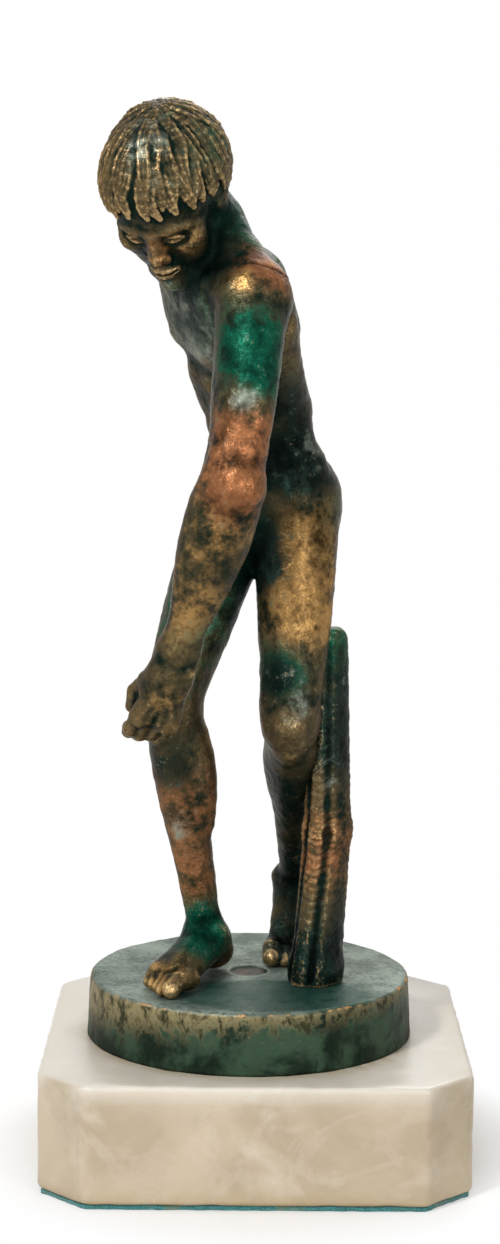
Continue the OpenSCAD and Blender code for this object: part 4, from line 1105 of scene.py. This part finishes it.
def plinth_bronze():
    """The plinth's bronze: grey-green above, brown over green on its side and copper on its rubbed rim, which
    is partly a painted highlight.
    """
    look = new_look("plinth_bronze")
    cloud, patch, fleck = look.grain(11, 6, 0.62, 0.5), look.grain(4, 6, 0.65), look.grain(0.9, 4, 0.65)
    streak = look.grain(2.6, 6, 0.7, 0.3, (1.0, 1.0, 0.75))
    top, rim, low, front = (look.attribute(name) for name in ("top", "rim", "low", "front"))
    smear, pool = look.total(cloud, (fleck, 0.6)), look.total(front, (patch, 1.2))
    ragged, worn_and_highlight = look.total(low, (streak, 2.2)), look.total(rim, (patch, 4.0))
    greens = look.layers(LOW_DEEP, (LOW_LIGHT, 1.0, cloud, 0.4, 0.6))
    side = look.layers(SIDE_DEEP, (SIDE_LIGHT, 1.0, streak, 0.38, 0.6), (greens, 1.0, ragged, 1.35, 1.85))
    above = look.layers(TOP_DEEP, (TOP_LIGHT, 1.0, smear, 0.64, 0.96), (POOL_GREEN, 0.9, pool, 0.9, 1.5))
    # The rubbed copper rim is partly a painted highlight along the top edge
    colour = look.layers(look.tint(top, side, above), (WORN_COPPER_AND_HIGHLIGHT, 1.0, worn_and_highlight, 2.79, 3.24),
                         (DUST, 0.5, fleck, 0.66, 0.74), (SOOT, 0.7, fleck, 0.36, 0.28))
    return look.finish(Base_Color=colour, Metallic=look.step(worn_and_highlight, 2.64, 3.14, 0.35, 0.9),
                       Roughness=look.step(patch, 0.3, 0.7, 0.34, 0.56), Specular_Tint=EDGE_TINT,
                       Specular_IOR_Level=look.step(patch, 0.3, 0.7, 0.1, 0.4),
                       Normal=look.bump(look.total(fleck, (patch, 0.5)), 0.25, 0.5))


# Pieces of the figure and the stump
def make_figure():
    # Its tints add painted shade and painted highlights to the patina
    skin = bronze("bronze_patina_shade_and_highlight")
    body = trunk_muscles() + neck_muscles() + trunk_details()
    body += [m for s in (1, -1) for m in leg_muscles(s) + foot_muscles(s)]
    head = head_muscles() + face_muscles() + hair_cap() + hair_locks()
    left, right = arm_muscles(1), arm_muscles(-1)
    castings = (
        ("body_casting", "figure_body", body, ROOM, BODY_CELL, MARK_SIZE, 0.0),
        ("head_casting", "figure_body", head, HEAD_ROOM, HEAD_CELL, HEAD_MARK_SIZE, 0.0),
        ("left_arm_casting", "left_arm", left, ROOM, ARM_CELL, MARK_SIZE, ARM_INSET),
        ("right_arm_casting", "right_arm", right, ROOM, ARM_CELL, MARK_SIZE, ARM_INSET),
    )
    for name, node, own, room, cell, mark_size, inset in castings:
        cast_piece(name, node, own, body + left + right + head, room, cell, mark_size, inset, skin)


# Stump: softness of its lower edge, its unevenness, and slanting chisel strokes round its middle
STUMP_EDGE, BARK_DEPTH, BARK_SIZE, BARK_SEED = 0.3, 0.16, 2.6, 3
STROKE_WAY, STROKE_PITCH, STROKE_DEPTH = vec(0.8, 0.5, 1), 1.6, 0.11
STROKES_AT, STROKES_SPAN = 0.42, 0.2


def make_stump():
    own = stump_muscles()
    clay = Clay(*reach_of(own, ROOM), STUMP_CELL).add(own).above(0, STUMP_EDGE)
    points, faces = clay.surface(clay.d)
    normals = normals_of(points, faces)
    raised = raised_edges(clay, points)
    points = hand_made(points, normals, BARK_DEPTH, BARK_SIZE, BARK_SEED)
    stroke = np.sin(2 * math.pi * (points @ STROKE_WAY) / STROKE_PITCH)
    depth = STROKE_DEPTH * np.exp(-((points[:, 2] / STUMP_H - STROKES_AT) / STROKES_SPAN) ** 2)
    points += normals * (depth * stroke)[:, None]
    points[:, 2] = np.clip(points[:, 2], 0, STUMP_H)
    skin = bronze("stump_bronze")
    piece = new_piece("stump_casting", to_world(points), faces, "stump_bronze", skin, "tree_stump")
    paint_patina_shade_and_highlight(piece, points, raised, stump_spots())


# Pieces of the base
def smooth_step(x, low, high):
    t = np.clip((x - low) / (high - low), 0, 1)
    return t * t * (3 - 2 * t)


def dome(gap, width):
    """1 where the gap is nothing, falling off over the width."""
    return np.exp(-(gap / width) ** 2)


# Plinth: how finely it is cut, its unevenness, and the edges that stay as they are
PLINTH_SIDES, TOP_STEPS, SIDE_STEPS, EDGE_TURN = 288, 40, 20, 15
PLINTH_WAVE, PLINTH_WAVE_SIZE, PLINTH_SEED = 0.14, 5.0, 11
STUD_MARGIN, PLINTH_MARGIN = 1, 0.5
# Its paint: where the top's grey fades out, the rubbed rim with its painted highlight, and the side and the
# top's place that are greener
TOP_FADE_H, TOP_FADE_R = (PLINTH_H - 0.9, PLINTH_H - 0.1), (36, 33.5)
RIM_IN, RIM_DOWN, RIM_W, RIM_SHARE = 0.7, 0.25, 0.55, 1.1
LOW_SHARE, LOW_FALL, LOW_SWAY, LOW_TURN = 1.15, 1.2, 0.35, 40
POOL_X, POOL_Y, POOL_W, POOL_D, POOL_SHARE = 6, -20, 18, 11, 2.5


def plinth_profile():
    """Outline of half the plinth from the bore in its top, over the rim and round its hollow underside."""
    top_r, foot_r, inner = (PLINTH_D - PLINTH_TAPER) / 2, PLINTH_D / 2, PLINTH_D / 2 - PLINTH_WALL
    bore, sunk, boss = STUD_D / 2 + FIT, HEAD_D / 2 + FIT, STUD_D / 2 + BOSS_WALL
    seat, ceiling = PLINTH_H - HEAD_SINK - HEAD_T, PLINTH_H - PLINTH_PLATE
    rows = [(bore, 0), (bore, seat), (sunk, seat), (sunk, PLINTH_H)]
    for i in range(1, TOP_STEPS + 1):
        rows.append((mix(sunk, top_r - PLINTH_EDGE, i / TOP_STEPS), PLINTH_H))
    for a in range(EDGE_TURN, 91, EDGE_TURN):
        rows.append((top_r - PLINTH_EDGE * (1 - sind(a)), PLINTH_H - PLINTH_EDGE * (1 - cosd(a))))
    for i in range(1, SIDE_STEPS + 1):
        rows.append((mix(top_r, foot_r, i / SIDE_STEPS), mix(PLINTH_H - PLINTH_EDGE, 0, i / SIDE_STEPS)))
    return rows + [(inner, 0), (inner, ceiling), (boss, ceiling), (boss, 0)]


def make_plinth():
    profile = plinth_profile()
    n = len(profile)
    turns = [360 * i / PLINTH_SIDES for i in range(PLINTH_SIDES)]
    points = np.array([(r * cosd(a), r * sind(a), z) for a in turns for r, z in profile])
    i, j = np.divmod(np.arange(len(points)), n)
    i_next, j_next = (i + 1) % PLINTH_SIDES, (j + 1) % n
    faces = np.stack([i * n + j, i * n + j_next, i_next * n + j_next, i_next * n + j], axis=1)
    x, y, z = points.T
    radius, rim_r = np.hypot(x, y), PLINTH_D / 2 - PLINTH_EDGE
    outer = (radius > rim_r) | (z > PLINTH_H - PLINTH_MARGIN)
    outer &= (radius > HEAD_D / 2 + STUD_MARGIN) & (z > PLINTH_MARGIN)
    moved = hand_made(points, normals_of(points, faces), PLINTH_WAVE, PLINTH_WAVE_SIZE, PLINTH_SEED)
    shaped = np.where(outer[:, None], moved, points)
    top = np.isclose(z, PLINTH_H) & outer
    shaped[top, 2] = np.minimum(shaped[top, 2], PLINTH_H)
    width = np.hypot(shaped[:, 0], shaped[:, 1])
    shaped[:, :2] *= np.minimum(1, PLINTH_D / 2 / width)[:, None]
    placed = MM * (shaped + vec(PLINTH_X, PLINTH_Y, BLOCK_TOP))
    piece = new_piece("plinth_casting", placed, faces, "plinth_bronze", plinth_bronze(), "plinth")
    paint(piece, "top", smooth_step(z, *TOP_FADE_H) * smooth_step(radius, *TOP_FADE_R))
    # The rubbed rim, partly a painted highlight along the top edge
    rim_gap = np.hypot(radius - PLINTH_D / 2 + RIM_IN, z - PLINTH_H + RIM_DOWN)
    paint(piece, "rim", RIM_SHARE * dome(rim_gap, RIM_W))
    sway = LOW_SWAY * np.cos(np.arctan2(y, x) + math.radians(LOW_TURN))
    paint(piece, "low", LOW_SHARE - LOW_FALL * z / PLINTH_H + sway)
    paint(piece, "front", POOL_SHARE * dome(x - POOL_X, POOL_W) * dome(y - POOL_Y, POOL_D))


# Block and felt: how finely they are cut, the felt's rounding, and their unevenness
BLOCK_CELL, FELT_CELL, FELT_EDGE, ROUNDING_STEPS = 3.0, 1.5, 0.25, 4
FACE_WEAR, EDGE_WEAR, EDGE_WEAR_W, BLOCK_WAVE_SIZE = 0.05, 0.25, 1.5, 6
FUZZ_DEPTH, FUZZ_SIZE, FUZZ_FADE = 0.22, 1.1, 0.7
# Marks on the marble: pale edges, painted light that makes the top paler, dirt over the felt and round the
# plinth, a brown side and a spot
PALE_EDGE, PALE_EDGE_W, PAINTED_TOP_LIGHT = 0.75, 1.6, 0.55
FOOT_STAIN, FOOT_STAIN_H, PLINTH_STAIN, PLINTH_STAIN_W = 0.85, 1.1, 0.6, 2.2
SIDE_STAIN, SIDE_STAIN_X = 0.22, (32, 45)
SPOT_AT, SPOT_SIZE, SPOT_SHARE = vec(-13, -45, 20), vec(2.2, 2, 0.9), 0.8


def block_outline(inset):
    x, y = BLOCK_W / 2 - inset, BLOCK_D / 2 - inset
    clip = BLOCK_CLIP - inset * (2 - math.sqrt(2))
    return [(x, clip - y), (x, y - clip), (x - clip, y), (clip - x, y),
            (-x, y - clip), (-x, clip - y), (clip - x, -y), (x - clip, -y)]


def prism(name, outline, low, high, rounding, cell):
    """A prism with rounded edges, cut into small faces."""
    form = bmesh.new()
    ends = [[form.verts.new((x, y, z)) for x, y in outline] for z in (low, high)]
    form.faces.new(ends[0][::-1])
    form.faces.new(ends[1])
    n = len(outline)
    for i in range(n):
        form.faces.new((ends[0][i], ends[0][(i + 1) % n], ends[1][(i + 1) % n], ends[1][i]))
    bmesh.ops.bevel(form, geom=form.edges[:], offset=rounding, segments=ROUNDING_STEPS, profile=0.5,
                    affect="EDGES")
    for axis, reach_mm in ((0, BLOCK_W), (1, BLOCK_D), (2, BLOCK_H)):
        for i in range(1, int(reach_mm / cell)):
            at, normal = [0, 0, 0], [0, 0, 0]
            at[axis] = low + i * cell if axis == 2 else i * cell - reach_mm / 2
            normal[axis] = 1
            geom = form.verts[:] + form.edges[:] + form.faces[:]
            bmesh.ops.bisect_plane(form, geom=geom, plane_co=at, plane_no=normal, dist=1e-4)
    bmesh.ops.recalc_face_normals(form, faces=form.faces[:])
    mesh = bpy.data.meshes.new(name + "_form")
    form.to_mesh(mesh)
    form.free()
    points = np.array([v.co[:] for v in mesh.vertices])
    normals = np.array([v.normal[:] for v in mesh.vertices])
    faces = [tuple(f.vertices) for f in mesh.polygons]
    bpy.data.meshes.remove(mesh)
    return points, normals, faces


def make_block():
    points, normals, faces = prism("block", block_outline(0), FELT_T, BLOCK_TOP, BLOCK_EDGE, BLOCK_CELL)
    x, y, z = points.T
    gaps = np.stack([BLOCK_W / 2 - np.abs(x), BLOCK_D / 2 - np.abs(y), BLOCK_TOP - z])
    inside = np.minimum(gaps.min(0), z - FELT_T)
    wear = FACE_WEAR + EDGE_WEAR * np.exp(-inside / EDGE_WEAR_W)
    shaped = points - normals * (wear * np.abs(waves(points, BLOCK_WAVE_SIZE)))[:, None]
    piece = new_piece("marble_slab", MM * shaped, faces, "marble", marble(), "marble_block")
    # Pale edges, and painted light that makes the whole top paler
    pale_edge = PALE_EDGE * np.exp(-np.sort(gaps, axis=0)[1] / PALE_EDGE_W)
    paint(piece, "pale_edges_and_painted_top_light", np.maximum(pale_edge, PAINTED_TOP_LIGHT * smooth_step(z, BLOCK_TOP - 1, BLOCK_TOP)))
    plinth_gap = np.hypot(x - PLINTH_X, y - PLINTH_Y) - PLINTH_D / 2
    round_plinth = PLINTH_STAIN * dome(plinth_gap, PLINTH_STAIN_W)
    round_plinth *= smooth_step(z, BLOCK_TOP - 0.5, BLOCK_TOP)
    at_foot = FOOT_STAIN * np.exp(-(z - FELT_T) / FOOT_STAIN_H)
    paint(piece, "stain", np.maximum(at_foot, round_plinth + SIDE_STAIN * smooth_step(x, *SIDE_STAIN_X)))
    paint(piece, "spot", SPOT_SHARE * dome((points - SPOT_AT) / SPOT_SIZE, 1).prod(1))


def make_felt():
    points, normals, faces = prism("felt", block_outline(FELT_INSET), 0, FELT_T, FELT_EDGE, FELT_CELL)
    shaped = points + normals * (FUZZ_DEPTH * waves(points, FUZZ_SIZE, fade=FUZZ_FADE))[:, None]
    shaped[:, 2] = np.clip(shaped[:, 2], 0, FELT_T)
    new_piece("felt_sheet", MM * shaped, faces, "felt", felt(), "felt_pad")


def dress_fixings():
    """The solids that keep their shape get their metal."""
    yellow, dark = brass(), bronze("fixing_bronze")
    for name in ("base_nut", "base_washer", "tenon_nuts", "tenon_washers", "base_stud", "cross_pins"):
        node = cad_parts[name]
        node.data.materials.clear()
        node.data.materials.append(dark if name in ("base_stud", "cross_pins") else yellow)


# Stage and light, in metres and watts: the floor, where it turns white, and the lamps with what they aim at
FLOOR_SIZE, FLOOR_GREY, FLOOR_WHITE, WHITE_FROM, WHITE_BY = 6.0, (0.92,) * 3, (1.0,) * 3, 0.044, 0.07
WORLD_LIGHT = 0.32
LAMPS = (
    # name, place, height aimed at, size, power
    ("key", (-0.45, -0.55, 0.75), 0.13, 0.14, 6.0),
    ("side", (0.4, -0.62, 0.2), 0.12, 0.1, 1.6),
    ("front", (-0.3, -0.7, 0.16), 0.12, 0.1, 0.9),
    ("back", (0.15, 0.6, 0.6), 0.13, 0.5, 3.0),
)


def make_floor():
    look = new_look("white_floor")
    apart = look.node("ShaderNodeVectorMath")
    apart.operation = "LENGTH"
    look.feed(apart.inputs[0], look.place())
    share = look.calc("MULTIPLY", look.seen(), look.step(apart.outputs["Value"], WHITE_FROM, WHITE_BY))
    glow = look.node("ShaderNodeEmission", Color=FLOOR_WHITE, Strength=1.0)
    both = look.node("ShaderNodeMixShader", Fac=share)
    material = look.finish(Base_Color=FLOOR_GREY, Roughness=0.9)
    look.feed(both.inputs[1], look.tree.nodes["Principled BSDF"].outputs[0])
    look.feed(both.inputs[2], glow.outputs[0])
    look.feed(look.tree.nodes["Material Output"].inputs["Surface"], both.outputs[0])
    half = FLOOR_SIZE / 2
    mesh = bpy.data.meshes.new("floor")
    corners = [(-half, -half, 0), (half, -half, 0), (half, half, 0), (-half, half, 0)]
    mesh.from_pydata(corners, [], [(0, 1, 2, 3)])
    mesh.materials.append(material)
    floor = bpy.data.objects.new("floor", mesh)
    bpy.context.scene.collection.objects.link(floor)


def make_world():
    world = bpy.data.worlds.new("studio")
    bpy.context.scene.world = world
    look = Look(world)
    sky = look.tree.nodes["Background"].inputs
    look.feed(sky["Color"], FLOOR_WHITE)
    look.feed(sky["Strength"], look.step(look.seen(), 0.0, 1.0, WORLD_LIGHT, 1.0))


def add_lamp(name, place, aim_h, size, power):
    data = bpy.data.lights.new(name, "AREA")
    data.energy, data.size = power, size
    lamp = bpy.data.objects.new(name, data)
    lamp.location = place
    lamp.rotation_euler = (Vector((0, 0, aim_h)) - Vector(place)).to_track_quat("-Z", "Y").to_euler()
    bpy.context.scene.collection.objects.link(lamp)


# The photograph's view: image height and focal length in its pixels, place in metres, and tilts in radians
IMAGE_H, FOCAL = 1244, 2645.34
CAMERA_AT, PITCH, ROLL = (-0.0019, -0.5617, 0.188), 0.1294, 0.0077
SENSOR, CLIP_START, CLIP_END = 36, 0.01, 20


def make_camera():
    data = bpy.data.cameras.new("photo_camera")
    data.sensor_fit = "VERTICAL"
    data.sensor_height = SENSOR
    data.lens = SENSOR * FOCAL / IMAGE_H
    data.clip_start, data.clip_end = CLIP_START, CLIP_END
    camera = bpy.data.objects.new("photo_camera", data)
    camera.location = CAMERA_AT
    camera.rotation_euler = Vector((0, math.cos(PITCH), -math.sin(PITCH))).to_track_quat("-Z", "Y").to_euler()
    camera.rotation_euler.rotate_axis("Z", ROLL)
    bpy.context.scene.collection.objects.link(camera)
    bpy.context.scene.camera = camera


make_camera()
make_world()
make_floor()
for lamp_row in LAMPS:
    add_lamp(*lamp_row)
make_figure()
make_stump()
make_plinth()
make_block()
make_felt()
dress_fixings()
bpy.context.scene.view_settings.view_transform = "Standard"
